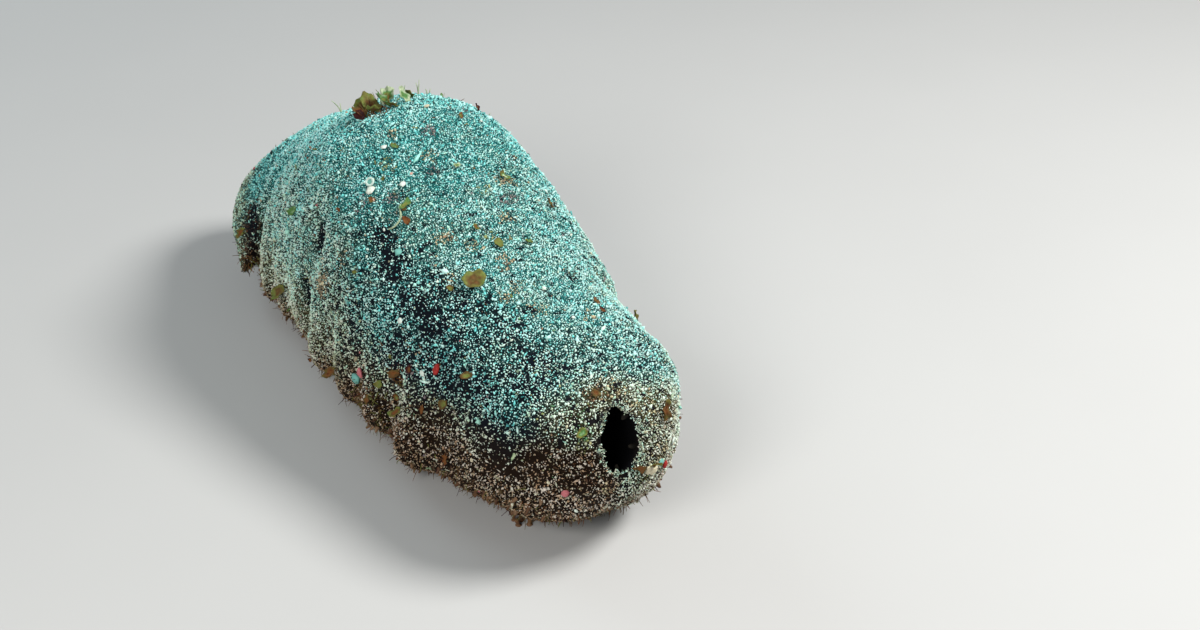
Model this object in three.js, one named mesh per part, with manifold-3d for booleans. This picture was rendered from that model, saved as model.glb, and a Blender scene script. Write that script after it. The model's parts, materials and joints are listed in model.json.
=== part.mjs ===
// A stout sea cucumber at rest on its creeping sole, life size, with its vent open and its mouth tucked
// under. Millimetres, +Z up. The body runs along +Y from the vent at the hind end to the mouth at the fore
// end, which turns to the left. The origin is under the middle of the body, on the floor.
import * as THREE from "three";
import { mergeVertices } from "three/addons/utils/BufferGeometryUtils.js";
import Module from "manifold-3d";

const wasm = await Module();
wasm.setup();

// Body. Lists run from the hind pole to the fore pole, at even steps along the midline.
const BODY_LENGTH = 294;
const HEADINGS_DEG = [-4, -0.5, 1, 58];
const HALF_WIDTHS = [47.2, 44.5, 53, 54.5, 49.5, 47];
const BACK_HEIGHTS = [84.5, 83, 94.5, 108.5, 90, 62];
const HIND_DOME = 98;
const FORE_DOME = 90;
const DOME_POWER = 2.3;
const VENT_HEIGHT = 53.5;
const GIRDLE_HEIGHT = 43;
const SNOUT_HEIGHT = 25;
const VENT_RISE_LENGTH = 88;
const BACK_POWER = 2.2;
const BELLY_POWER = 2.8;
const BELLY_DEPTH = 1.12;
const FOOT_HEIGHT = 1.6;

// Body wall mesh.
const RINGS = 66;
const SEGMENTS = 36;
const FLANK_CROWDING_DEG = 7;
const POLE_SHARE = 0.2;
const SPINE_STEPS = 400;

// Lobes and creases of the lower flanks. along is a share of the midline where the flank meets the floor,
// and the feature leans back by LEAN for each degree up the flank.
const LEFT_MARGIN_DEG = 205;
const RIGHT_MARGIN_DEG = 335;
const LOBE_ANGLE_SPREAD = 24;
const LOBE_SPREAD = 0.036;
const LEFT_LOBES = [
  { along: 0.2, reach: 2 },
  { along: 0.295, reach: 8 },
  { along: 0.385, reach: 4 },
  { along: 0.465, reach: 4 },
  { along: 0.547, reach: 4.5 },
  { along: 0.645, reach: 1.5 },
  { along: 0.745, reach: 2 },
  { along: 0.855, reach: 3 },
  { along: 0.965, reach: 7 },
];
const RIGHT_LOBES = [0.19, 0.29, 0.38, 0.47, 0.56, 0.65, 0.74, 0.83].map((along) => ({ along, reach: 5 }));
const CREASE_SPREAD = 0.019;
const LEFT_CREASES = [
  { along: 0.345, depth: 2, top: 184 },
  { along: 0.428, depth: 2.5, top: 182 },
  { along: 0.507, depth: 3.5, top: 178 },
  { along: 0.595, depth: 3.5, top: 160 },
  { along: 0.7, depth: 0.8, top: 176 },
  { along: 0.812, depth: 1.2, top: 172 },
  { along: 0.925, depth: 7, top: 146 },
];
const RIGHT_CREASES = [0.24, 0.335, 0.425, 0.515, 0.605, 0.695, 0.785, 0.92].map((along) => ({
  along,
  depth: 3,
  top: 20,
}));
const LEAN = 0.0012;
const CREASE_FADE_DEG = 8;
const POLE_FADE = 1.4;

// Broad swells and hollows of the back: share along, degrees round, height, and their spreads.
const SWELLS = [
  { along: 0.27, angle: 42, height: -3.5, length: 0.06, girth: 34 },
  { along: 0.1, angle: 25, height: 2, length: 0.07, girth: 30 },
  { along: 0.6, angle: 62, height: 2.5, length: 0.1, girth: 30 },
  { along: 0.13, angle: 108, height: -1.8, length: 0.04, girth: 40 },
  { along: 0.38, angle: 132, height: -2.2, length: 0.05, girth: 22 },
  { along: 0.2, angle: 168, height: -2, length: 0.05, girth: 22 },
  { along: 0.5, angle: 112, height: 1.6, length: 0.06, girth: 24 },
  { along: 0.8, angle: 95, height: -2.5, length: 0.05, girth: 50 },
];

// Vent: an upright oval hole with a low lip, and the chamber behind it.
const VENT_WIDTH = 13.4;
const VENT_TALL = 23;
const VENT_TILT_DEG = 12;
const VENT_OFFSET = { side: -2.4, up: 1.5 };
const VENT_DEPTH = 26;
const VENT_SIDES = 24;
const VENT_LIP_DEPTH = 6;
const VENT_LIP = { at: 1.2, spread: 0.5, rise: 1.2 };
const TEETH = 5;
const TOOTH_LENGTH = 5;
const TOOTH_RADIUS = 1.5;
const TOOTH_SIDES = 7;
const TOOTH_TURN_DEG = -90;
const TOOTH_SEAT_DEPTH = 3.2;

// Mouth: a round recess under the snout, its disc, and the ring of feeding tentacles.
const MOUTH_ALONG = 0.972;
const MOUTH_RADIUS = 12.5;
const MOUTH_DEPTH = 7.6;
const MOUTH_SIDES = 20;
const MOUTH_CHAMFER = 1.2;
const MOUTH_DIP_DEG = 52;
const DISC_THICKNESS = 2;
const GULLET_RADIUS = 2.6;
const TENTACLES = 20;
const TENTACLE_ROWS = [
  { ring: 7, lean: 0.42, stalk: 5.4 },
  { ring: 4.9, lean: 0.26, stalk: 4.6 },
];
const STALK_RADIUS = 0.8;
const SHIELD_RADIUS = 1.6;
const SHIELD_HEIGHT = 1.9;
const TENTACLE_SIDES = 8;

// Creeping sole and its tube feet.
const SOLE_HALF_WIDTH = 31;
const SOLE_TOP = 8;
const SOLE_STEPS = 9;
const SOLE_OVERRUN = 0.05;
const FOOT_BANDS = [-21, 0, 21];
const FOOT_STAGGER = 4.5;
const FOOT_PITCH = 13;
const FOOT_RADIUS = 1.9;
const FOOT_ROOT = 1.2;
const FOOT_TAPER = 0.8;
const FOOT_SIDES = 6;

// Thin cuts between the named lengths of the body.
const CUTS = [0.17, 0.38, 0.6, 0.81];
const GAP = 0.3;
const FAR = 500;

const FINISHES = {
  wall: { color: 0x5f6660, roughness: 0.85, metalness: 0 },
  sole: { color: 0x2a221c, roughness: 0.7, metalness: 0 },
  tooth: { color: 0xb9b29a, roughness: 0.6, metalness: 0 },
  mouth: { color: 0x1b1613, roughness: 0.6, metalness: 0 },
  tentacle: { color: 0x2e2620, roughness: 0.6, metalness: 0 },
};

const degrees = THREE.MathUtils.degToRad;
const bell = (distance, spread) => Math.exp(-((distance / spread) ** 2));
const dome = (share) => (1 - (1 - THREE.MathUtils.clamp(share, 0, 1)) ** DOME_POWER) ** (1 / DOME_POWER);

// Smooth curve through evenly spaced values, read at a share of its length.
function spline(values, share) {
  const last = values.length - 1;
  const place = THREE.MathUtils.clamp(share, 0, 1) * last;
  const i = Math.min(Math.floor(place), last - 1);
  const u = place - i;
  const a = i > 0 ? values[i - 1] : 2 * values[0] - values[1];
  const [b, c] = [values[i], values[i + 1]];
  const d = i + 2 <= last ? values[i + 2] : 2 * values[last] - values[last - 1];
  const [square, cube] = [2 * a - 5 * b + 4 * c - d, 3 * b - a - 3 * c + d];
  return 0.5 * (2 * b + (c - a) * u + square * u ** 2 + cube * u ** 3);
}

// Midline on the floor, stepped out along the headings.
const midline = [new THREE.Vector2(0, 0)];
const step = BODY_LENGTH / SPINE_STEPS;
for (let i = 0; i < SPINE_STEPS; i++) {
  const heading = degrees(spline(HEADINGS_DEG, (i + 0.5) / SPINE_STEPS));
  const move = new THREE.Vector2(-Math.sin(heading), Math.cos(heading)).multiplyScalar(step);
  midline.push(midline[i].clone().add(move));
}

// Place on the midline, with the directions forward and to the right there.
function station(share) {
  const place = THREE.MathUtils.clamp(share, 0, 1) * SPINE_STEPS;
  const i = Math.min(Math.floor(place), SPINE_STEPS - 1);
  const point = midline[i].clone().lerp(midline[i + 1], place - i);
  const heading = degrees(spline(HEADINGS_DEG, share));
  return {
    point: new THREE.Vector3(point.x, point.y, 0),
    forward: new THREE.Vector3(-Math.sin(heading), Math.cos(heading), 0),
    right: new THREE.Vector3(Math.cos(heading), Math.sin(heading), 0),
  };
}

// Height of the widest line of the body, which climbs to the vent and drops to the snout.
function girdle(share) {
  const hind = Math.max(0, 1 - (share * BODY_LENGTH) / VENT_RISE_LENGTH);
  const fore = THREE.MathUtils.clamp((share - 0.5) / 0.5, 0, 1);
  const [climb, drop] = [VENT_HEIGHT - GIRDLE_HEIGHT, GIRDLE_HEIGHT - SNOUT_HEIGHT];
  return GIRDLE_HEIGHT + climb * hind ** 2 - drop * fore ** 1.5;
}

// Turn from one angle to another, from -180 to 180 degrees.
function turnFrom(from, to) {
  return ((((to - from + 180) % 360) + 360) % 360) - 180;
}

// How far lobes, creases and swells push the wall out, in millimetres.
function relief(share, angle) {
  let push = 0;
  const rightUp = turnFrom(RIGHT_MARGIN_DEG, angle);
  const sides = [
    { lobes: LEFT_LOBES, creases: LEFT_CREASES, margin: LEFT_MARGIN_DEG, up: LEFT_MARGIN_DEG - angle },
    { lobes: RIGHT_LOBES, creases: RIGHT_CREASES, margin: RIGHT_MARGIN_DEG, up: rightUp },
  ];
  for (const { lobes, creases, margin, up } of sides) {
    const lean = LEAN * up;
    for (const lobe of lobes) {
      push += lobe.reach * bell(share + lean - lobe.along, LOBE_SPREAD) * bell(up, LOBE_ANGLE_SPREAD);
    }
    for (const crease of creases) {
      const topUp = Math.abs(turnFrom(margin, crease.top));
      const fade = 1 / (1 + Math.exp((Math.abs(up) - topUp) / CREASE_FADE_DEG));
      push -= crease.depth * fade * bell(share + lean - crease.along, CREASE_SPREAD);
    }
  }
  for (const swell of SWELLS) {
    const round = turnFrom(swell.angle, angle);
    push += swell.height * bell(share - swell.along, swell.length) * bell(round, swell.girth);
  }
  return push;
}

// Point of the closed body wall, before its vent and mouth are cut.
function wall(share, angleDeg) {
  const profile = dome((share * BODY_LENGTH) / HIND_DOME) * dome(((1 - share) * BODY_LENGTH) / FORE_DOME);
  const middle = girdle(share);
  const [c, s] = [Math.cos(degrees(angleDeg)), Math.sin(degrees(angleDeg))];
  const power = 2 / (s >= 0 ? BACK_POWER : BELLY_POWER);
  const push = relief(share, angleDeg) * Math.min(1, profile * POLE_FADE);
  const side = spline(HALF_WIDTHS, share) * profile * Math.sign(c) * Math.abs(c) ** power + push * c;
  const reach = s >= 0 ? spline(BACK_HEIGHTS, share) - middle : middle * BELLY_DEPTH;
  const height = middle + reach * profile * Math.sign(s) * Math.abs(s) ** power + push * s;
  const { point, right } = station(share);
  return point.clone().addScaledVector(right, side).setZ(Math.max(FOOT_HEIGHT, height));
}

// Share along the midline of a ring, closer together towards the poles.
function ringShare(k) {
  const near = Math.min(k, 1 - k);
  const scale = 1 / (1 - POLE_SHARE);
  const share = near < POLE_SHARE ? (near ** 2 / (2 * POLE_SHARE)) * scale : (near - POLE_SHARE / 2) * scale;
  return k < 0.5 ? share : 1 - share;
}

// Frames of the two openings: centre, outward normal, and the two directions across the hole.
function ventFrame() {
  const { point, forward, right } = station(0);
  const tilt = degrees(VENT_TILT_DEG);
  const centre = point.clone().setZ(VENT_HEIGHT + VENT_OFFSET.up).addScaledVector(right, VENT_OFFSET.side);
  const normal = forward.clone().multiplyScalar(-Math.cos(tilt)).setZ(Math.sin(tilt));
  return { centre, normal, across: right, up: normal.clone().cross(right) };
}

function mouthFrame() {
  const { forward, right } = station(MOUTH_ALONG);
  const dip = degrees(MOUTH_DIP_DEG);
  const normal = forward.clone().multiplyScalar(Math.cos(dip)).setZ(-Math.sin(dip));
  return { centre: wall(MOUTH_ALONG, 270), normal, across: right, up: right.clone().cross(normal) };
}

// Where a point lies over the vent's oval: 0 at its middle, 1 on its edge.
function ovalDistance(point) {
  const from = point.clone().sub(vent.centre);
  return Math.hypot(from.dot(vent.across) / (VENT_WIDTH / 2), from.dot(vent.up) / (VENT_TALL / 2));
}

const vent = ventFrame();
const mouth = mouthFrame();

// Whole body wall: a sphere's rings laid round the midline, with a low swelling round the vent.
function bodyGeometry() {
  const sphere = new THREE.SphereGeometry(1, SEGMENTS, RINGS);
  const position = sphere.getAttribute("position");
  for (let i = 0; i < position.count; i++) {
    const p = new THREE.Vector3().fromBufferAttribute(position, i);
    const k = Math.acos(THREE.MathUtils.clamp(p.y, -1, 1)) / Math.PI;
    const turn = Math.atan2(p.z, p.x);
    const angle = THREE.MathUtils.radToDeg(turn) - FLANK_CROWDING_DEG * Math.sin(2 * turn);
    const point = wall(ringShare(k), (angle + 360) % 360);
    const lip = VENT_LIP.rise * bell(ovalDistance(point) - VENT_LIP.at, VENT_LIP.spread);
    if (k < 0.5) point.addScaledVector(vent.normal, lip);
    position.setXYZ(i, point.x, point.y, point.z);
  }
  return sphere;
}

// Solids and meshes are turned into each other here. Only positions matter to a solid.
function solidOf(geometry) {
  const bare = geometry.index ? geometry.toNonIndexed() : geometry.clone();
  for (const name of Object.keys(bare.attributes)) {
    if (name !== "position") bare.deleteAttribute(name);
  }
  const merged = mergeVertices(bare, 1e-3);
  const triVerts = new Uint32Array(merged.index.array);
  const solid = new wasm.Manifold(
    new wasm.Mesh({ numProp: 3, vertProperties: merged.attributes.position.array, triVerts }),
  );
  if (solid.volume() > 0) return solid;
  for (let i = 0; i < triVerts.length; i += 3) {
    [triVerts[i + 1], triVerts[i + 2]] = [triVerts[i + 2], triVerts[i + 1]];
  }
  return new wasm.Manifold(
    new wasm.Mesh({ numProp: 3, vertProperties: merged.attributes.position.array, triVerts }),
  );
}

function geometryOf(solid) {
  const { vertProperties, triVerts } = solid.getMesh();
  const geometry = new THREE.BufferGeometry();
  geometry.setAttribute("position", new THREE.BufferAttribute(new Float32Array(vertProperties), 3));
  geometry.setIndex(new THREE.BufferAttribute(new Uint32Array(triVerts), 1));
  return geometry.toNonIndexed();
}

// Places a geometry modelled along +Y so that +Y points along direction, from an origin.
function aimed(geometry, origin, direction) {
  const towards = direction.clone().normalize();
  const turn = new THREE.Quaternion().setFromUnitVectors(new THREE.Vector3(0, 1, 0), towards);
  return geometry.applyQuaternion(turn).translate(origin.x, origin.y, origin.z);
}

// Everything beyond a plane, as a large block.
function beyond(origin, direction) {
  return solidOf(aimed(new THREE.BoxGeometry(FAR, FAR, FAR).translate(0, FAR / 2, 0), origin, direction));
}

// The stretch of the body between two cuts, less half of the gap at each.
function stretch(solid, from, to) {
  let piece = solid;
  if (from !== null) {
    const { point, forward } = station(from);
    piece = piece.subtract(beyond(point.addScaledVector(forward, GAP / 2), forward.clone().negate()));
  }
  if (to !== null) {
    const { point, forward } = station(to);
    piece = piece.subtract(beyond(point.addScaledVector(forward, -GAP / 2), forward));
  }
  return piece;
}

// Upright strip that follows the midline under the body, which parts the sole from the wall.
function soleStrip(halfWidth, top) {
  const outline = [];
  const [first, last] = [CUTS[0] - SOLE_OVERRUN, CUTS[CUTS.length - 1] + SOLE_OVERRUN];
  for (const side of [1, -1]) {
    for (let i = 0; i <= SOLE_STEPS; i++) {
      const share = side > 0 ? i / SOLE_STEPS : 1 - i / SOLE_STEPS;
      const { point, right } = station(first + (last - first) * share);
      point.addScaledVector(right, halfWidth * side);
      outline.push(new THREE.Vector2(point.x, point.y));
    }
  }
  const shape = new THREE.Shape(outline);
  const strip = new THREE.ExtrudeGeometry(shape, { depth: top + FAR, bevelEnabled: false });
  return solidOf(strip.translate(0, 0, -FAR));
}

// Tube feet of one stretch of the sole, in staggered rows, with their discs on the floor.
function tubeFeet(from, to) {
  const feet = [];
  const height = FOOT_HEIGHT + FOOT_ROOT;
  const rows = Math.floor(((to - from) * BODY_LENGTH - 2 * FOOT_RADIUS) / FOOT_PITCH);
  for (let row = 0; row < rows; row++) {
    const share = from + ((to - from) * (row + 0.5)) / rows;
    const { point, right } = station(share);
    for (const band of FOOT_BANDS) {
      const side = band + (row % 2 ? FOOT_STAGGER : -FOOT_STAGGER);
      const place = point.clone().addScaledVector(right, side);
      const foot = new THREE.CylinderGeometry(FOOT_RADIUS * FOOT_TAPER, FOOT_RADIUS, height, FOOT_SIDES);
      feet.push(solidOf(foot.rotateX(Math.PI / 2).translate(place.x, place.y, height / 2)));
    }
  }
  return feet;
}

// Chamber behind the vent, to be taken out of the anal end. Its oval narrows at the lip and widens inside.
function ventRoom() {
  const profile = [
    [0, -VENT_DEPTH],
    [0.55, -VENT_DEPTH + 1.5],
    [0.95, -VENT_DEPTH * 0.75],
    [1.05, -VENT_DEPTH * 0.5],
    [0.96, -VENT_LIP_DEPTH],
    [0.98, -VENT_LIP_DEPTH * 0.6],
    [1.08, -VENT_LIP_DEPTH * 0.2],
    [1.4, VENT_LIP_DEPTH],
    [0, VENT_LIP_DEPTH],
  ].map(([radius, height]) => new THREE.Vector2(radius, height));
  const turned = new THREE.LatheGeometry(profile, VENT_SIDES).rotateX(Math.PI / 2);
  const oval = turned.scale(VENT_WIDTH / 2, VENT_TALL / 2, 1);
  const place = new THREE.Matrix4().makeBasis(vent.across, vent.up, vent.across.clone().cross(vent.up));
  return solidOf(oval.applyMatrix4(place.setPosition(vent.centre)));
}

// One of the small limy teeth round the vent, seated in the lip and pointing across the hole. grow
// enlarges it into its own socket.
function ventTooth(index, grow) {
  const turn = degrees(TOOTH_TURN_DEG + (360 / TEETH) * index);
  const [halfWide, halfTall] = [VENT_WIDTH / 2, VENT_TALL / 2];
  const root = vent.centre.clone().addScaledVector(vent.across, Math.cos(turn) * halfWide);
  root.addScaledVector(vent.up, Math.sin(turn) * halfTall);
  const above = root.clone().addScaledVector(vent.normal, VENT_DEPTH);
  const lip = new THREE.Raycaster(above, vent.normal.clone().negate()).intersectObject(bodyMesh)[0].point;
  root.copy(lip).addScaledVector(vent.normal, -TOOTH_SEAT_DEPTH);
  const inward = vent.across.clone().multiplyScalar(-Math.cos(turn) / halfWide);
  inward.addScaledVector(vent.up, -Math.sin(turn) / halfTall).normalize();
  const profile = [
    [0, -0.5],
    [1, -0.5],
    [0.95, 0.1],
    [0.5, 0.4],
    [0, 0.5],
  ].map(([radius, height]) => {
    const axial = height * TOOTH_LENGTH + Math.sign(height) * grow;
    return new THREE.Vector2(radius * TOOTH_RADIUS + (radius > 0 ? grow : 0), axial);
  });
  return solidOf(aimed(new THREE.LatheGeometry(profile, TOOTH_SIDES), root, inward));
}

// Turned solid on the axis of the mouth. Heights run outward from the plane of its rim.
function turnedMouthPiece(profile) {
  const points = profile.map(([radius, height]) => new THREE.Vector2(radius, height));
  return solidOf(aimed(new THREE.LatheGeometry(points, MOUTH_SIDES), mouth.centre, mouth.normal));
}

// Recess of the mouth, to be taken out of the snout.
function mouthRoom() {
  const outer = MOUTH_RADIUS + MOUTH_CHAMFER;
  return turnedMouthPiece([
    [0, -MOUTH_DEPTH],
    [MOUTH_RADIUS - 1, -MOUTH_DEPTH],
    [MOUTH_RADIUS, -MOUTH_CHAMFER],
    [outer, MOUTH_CHAMFER],
    [outer, MOUTH_DEPTH],
    [0, MOUTH_DEPTH],
  ]);
}

// Disc on the floor of the recess, with the gullet as a pit in its middle.
function mouthDisc() {
  const bottom = GAP - MOUTH_DEPTH;
  const top = bottom + DISC_THICKNESS;
  const radius = MOUTH_RADIUS - 1 - 2 * GAP;
  return turnedMouthPiece([
    [0, bottom],
    [radius, bottom],
    [radius - 0.8, top],
    [GULLET_RADIUS, top],
    [GULLET_RADIUS * 0.6, bottom + 0.7],
    [0, bottom + 0.6],
  ]);
}

// Feeding tentacle: a short stalk that leans out of the mouth and ends in a domed shield. They stand in two
// rows, turn about.
function tentacle(index) {
  const { ring, lean, stalk } = TENTACLE_ROWS[index % 2];
  const turn = (2 * Math.PI * (index + 0.5)) / TENTACLES;
  const outward = mouth.across.clone().multiplyScalar(Math.cos(turn));
  outward.addScaledVector(mouth.up, Math.sin(turn));
  const seat = 2 * GAP + DISC_THICKNESS - MOUTH_DEPTH;
  const root = mouth.centre.clone().addScaledVector(mouth.normal, seat).addScaledVector(outward, ring);
  const rise = outward.clone().multiplyScalar(lean).add(mouth.normal).normalize();
  const profile = [
    [0, -SHIELD_HEIGHT],
    [STALK_RADIUS, -SHIELD_HEIGHT],
    [STALK_RADIUS, stalk - SHIELD_HEIGHT / 3],
    [SHIELD_RADIUS, stalk],
    [SHIELD_RADIUS * 0.8, stalk + SHIELD_HEIGHT / 2],
    [0, stalk + SHIELD_HEIGHT * 0.6],
  ].map(([radius, height]) => new THREE.Vector2(radius, height));
  const whole = solidOf(aimed(new THREE.LatheGeometry(profile, TENTACLE_SIDES), root, rise));
  return whole.subtract(beyond(root, mouth.normal.clone().negate()));
}

// Adds a named mesh of one finish to the model.
const model = new THREE.Group();
function addPart(name, solid, finish) {
  const mesh = new THREE.Mesh(geometryOf(solid), new THREE.MeshStandardMaterial(FINISHES[finish]));
  mesh.name = name;
  model.add(mesh);
}

const body = solidOf(bodyGeometry());
const bodyMesh = new THREE.Mesh(geometryOf(body));
const strip = soleStrip(SOLE_HALF_WIDTH, SOLE_TOP);
const stripRoom = soleStrip(SOLE_HALF_WIDTH + GAP, SOLE_TOP + GAP);
const [CUT_HIND, CUT_MIDDLE, CUT_FORE, CUT_ORAL] = CUTS;
const trunk = stretch(body, CUT_HIND, CUT_ORAL).subtract(stripRoom);
const sole = stretch(body, CUT_HIND, CUT_ORAL).intersect(strip);
const TRUNK_LENGTHS = {
  hind: [CUT_HIND, CUT_MIDDLE],
  middle: [CUT_MIDDLE, CUT_FORE],
  fore: [CUT_FORE, CUT_ORAL],
};

let analEnd = stretch(body, null, CUT_HIND).subtract(ventRoom());
for (let i = 0; i < TEETH; i++) {
  analEnd = analEnd.subtract(ventTooth(i, GAP));
}
addPart("anal_end", analEnd, "wall");
for (const [name, [from, to]] of Object.entries(TRUNK_LENGTHS)) {
  addPart(`trunk_${name}`, stretch(trunk, from, to), "wall");
  const underside = stretch(sole, from, to);
  addPart(`sole_${name}`, tubeFeet(from, to).reduce((whole, foot) => whole.add(foot), underside), "sole");
}
addPart("oral_end", stretch(body, CUT_ORAL, null).subtract(mouthRoom()), "wall");
for (let i = 0; i < TEETH; i++) {
  addPart(`vent_tooth_${i + 1}`, ventTooth(i, 0), "tooth");
}
addPart("mouth_disc", mouthDisc(), "mouth");
for (let i = 0; i < TENTACLES; i++) {
  addPart(`tentacle_${String(i + 1).padStart(2, "0")}`, tentacle(i), "tentacle");
}

// The origin moves to the middle of the model's footprint.
const footprint = new THREE.Box3().setFromObject(model).getCenter(new THREE.Vector3());
model.position.set(-footprint.x, -footprint.y, 0);

export default model;
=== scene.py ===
"""Sea cucumber at rest, life size: one skin, its coat of sand, tube feet, vent, mouth and what it carries."""
import itertools
import json
import math

import bmesh
import bpy
import numpy as np
from bpy.props import FloatProperty, FloatVectorProperty, IntProperty, PointerProperty
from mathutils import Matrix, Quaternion, Vector

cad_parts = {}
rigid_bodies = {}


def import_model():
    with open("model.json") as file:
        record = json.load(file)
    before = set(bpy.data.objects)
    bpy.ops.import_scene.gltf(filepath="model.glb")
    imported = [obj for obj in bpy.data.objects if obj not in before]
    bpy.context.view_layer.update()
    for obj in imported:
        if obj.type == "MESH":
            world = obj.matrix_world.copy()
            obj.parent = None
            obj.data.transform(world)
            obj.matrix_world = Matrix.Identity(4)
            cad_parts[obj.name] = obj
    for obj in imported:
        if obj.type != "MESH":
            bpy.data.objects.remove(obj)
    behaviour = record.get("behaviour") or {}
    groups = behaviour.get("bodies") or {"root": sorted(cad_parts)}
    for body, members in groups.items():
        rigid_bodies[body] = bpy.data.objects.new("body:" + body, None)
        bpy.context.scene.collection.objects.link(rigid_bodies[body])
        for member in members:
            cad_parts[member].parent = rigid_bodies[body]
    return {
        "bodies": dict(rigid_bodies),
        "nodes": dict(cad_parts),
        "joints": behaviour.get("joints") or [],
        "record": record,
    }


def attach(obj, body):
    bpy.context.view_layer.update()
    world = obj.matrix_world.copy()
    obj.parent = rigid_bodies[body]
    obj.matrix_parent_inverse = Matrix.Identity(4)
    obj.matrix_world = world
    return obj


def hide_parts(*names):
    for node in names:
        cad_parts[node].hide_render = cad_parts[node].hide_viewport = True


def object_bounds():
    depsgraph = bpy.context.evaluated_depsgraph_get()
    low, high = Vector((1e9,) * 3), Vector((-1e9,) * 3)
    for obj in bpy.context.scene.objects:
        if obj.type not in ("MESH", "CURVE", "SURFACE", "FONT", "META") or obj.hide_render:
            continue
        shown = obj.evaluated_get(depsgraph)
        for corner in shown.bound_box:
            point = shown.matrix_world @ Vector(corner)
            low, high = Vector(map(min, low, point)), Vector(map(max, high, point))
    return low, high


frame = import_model()
CAD_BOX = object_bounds()

bl_info = {
    "name": "Sea cucumber",
    "version": (1, 0, 0),
    "blender": (4, 5, 0),
    "location": "View3D > Sidebar > Sea Cucumber",
    "description": "Builds a life-size sea cucumber with its coat of sand",
    "category": "Add Mesh",
}

MM = 0.001

# Body, in millimetres and degrees, as the solids have it. Lists run from the hind pole to the fore pole.
BODY_LENGTH = 294
HEADINGS_DEG = (-4, -0.5, 1, 58)
HALF_WIDTHS = (47.2, 44.5, 53, 54.5, 49.5, 47)
BACK_HEIGHTS = (84.5, 83, 94.5, 108.5, 90, 62)
HIND_DOME = 98
FORE_DOME = 90
DOME_POWER = 2.3
VENT_HEIGHT = 53.5
GIRDLE_HEIGHT = 43
SNOUT_HEIGHT = 25
VENT_RISE_LENGTH = 88
BACK_POWER = 2.2
BELLY_POWER = 2.8
BELLY_DEPTH = 1.12
FOOT_HEIGHT = 1.6
SPINE_STEPS = 400
SEARCH_STEPS = 40

# Mesh of the solids, which places the origin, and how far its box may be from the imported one.
SOLID_RINGS = 66
SOLID_SEGMENTS = 36
FLANK_CROWDING_DEG = 7
POLE_SHARE = 0.2
BOX_TOLERANCE = 2

# Lobes and creases of the flanks, as (share along, millimetres) and (share along, millimetres, top angle).
LEFT_MARGIN_DEG = 205
RIGHT_MARGIN_DEG = 335
LOBE_ANGLE_SPREAD = 24
LOBE_SPREAD = 0.036
LEFT_LOBES = (
    (0.2, 2), (0.295, 8), (0.385, 4), (0.465, 4), (0.547, 4.5), (0.645, 1.5), (0.745, 2), (0.855, 3),
    (0.965, 7),
)
RIGHT_LOBES = tuple((along, 5) for along in (0.19, 0.29, 0.38, 0.47, 0.56, 0.65, 0.74, 0.83))
CREASE_SPREAD = 0.019
LEFT_CREASES = (
    (0.345, 2, 184), (0.428, 2.5, 182), (0.507, 3.5, 178), (0.595, 3.5, 160), (0.7, 0.8, 176),
    (0.812, 1.2, 172), (0.925, 7, 146),
)
RIGHT_CREASES = tuple((along, 3, 20) for along in (0.24, 0.335, 0.425, 0.515, 0.605, 0.695, 0.785, 0.92))
LEAN = 0.0012
CREASE_FADE_DEG = 8
STEEPEST_FADE = 50
POLE_FADE = 1.4

# Swells and hollows of the back, as (share along, angle, height, spread along, spread round).
SWELLS = (
    (0.27, 42, -3.5, 0.06, 34), (0.1, 25, 2, 0.07, 30), (0.6, 62, 2.5, 0.1, 30),
    (0.13, 108, -1.8, 0.04, 40), (0.38, 132, -2.2, 0.05, 22), (0.2, 168, -2, 0.05, 22),
    (0.5, 112, 1.6, 0.06, 24), (0.8, 95, -2.5, 0.05, 50),
)

# Slits and pits too fine for the solids, as (share along, angle, depth, spread along, spread round).
DIMPLES = (
    (0.537, 155.5, 3.6, 0.0065, 6.5), (0.576, 181, 3.0, 0.007, 7), (0.739, 171, 1.6, 0.008, 6),
    (0.915, 160, 2.4, 0.012, 12), (0.345, 196, 1.6, 0.008, 9), (0.29, 30, 1.8, 0.009, 9),
    (0.66, 352, 2.4, 0.008, 9), (0.82, 20, 2.2, 0.008, 10), (0.47, 10, 1.8, 0.008, 8),
)

# Openings.
VENT_WIDTH = 13.4
VENT_TALL = 23
VENT_TILT_DEG = 12
VENT_OFFSET = (-2.4, 1.5)
VENT_DEPTH = 26
TEETH = 5
MOUTH_ALONG = 0.972
MOUTH_RADIUS = 12.5
MOUTH_DEPTH = 7.6
MOUTH_DIP_DEG = 52
TENTACLES = 20

FLESH = (
    "anal_end", "trunk_hind", "trunk_middle", "trunk_fore", "oral_end", "sole_hind", "sole_middle",
    "sole_fore",
)


def length_setting(name, description, millimetres):
    return FloatProperty(name=name, description=description, default=millimetres * MM, unit="LENGTH")


def tint_setting(name, description, tint):
    return FloatVectorProperty(name=name, description=description, default=tint, subtype="COLOR", size=3)


def power_setting(name, description, watts):
    return FloatProperty(name=name, description=description, default=watts, unit="POWER")


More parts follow.
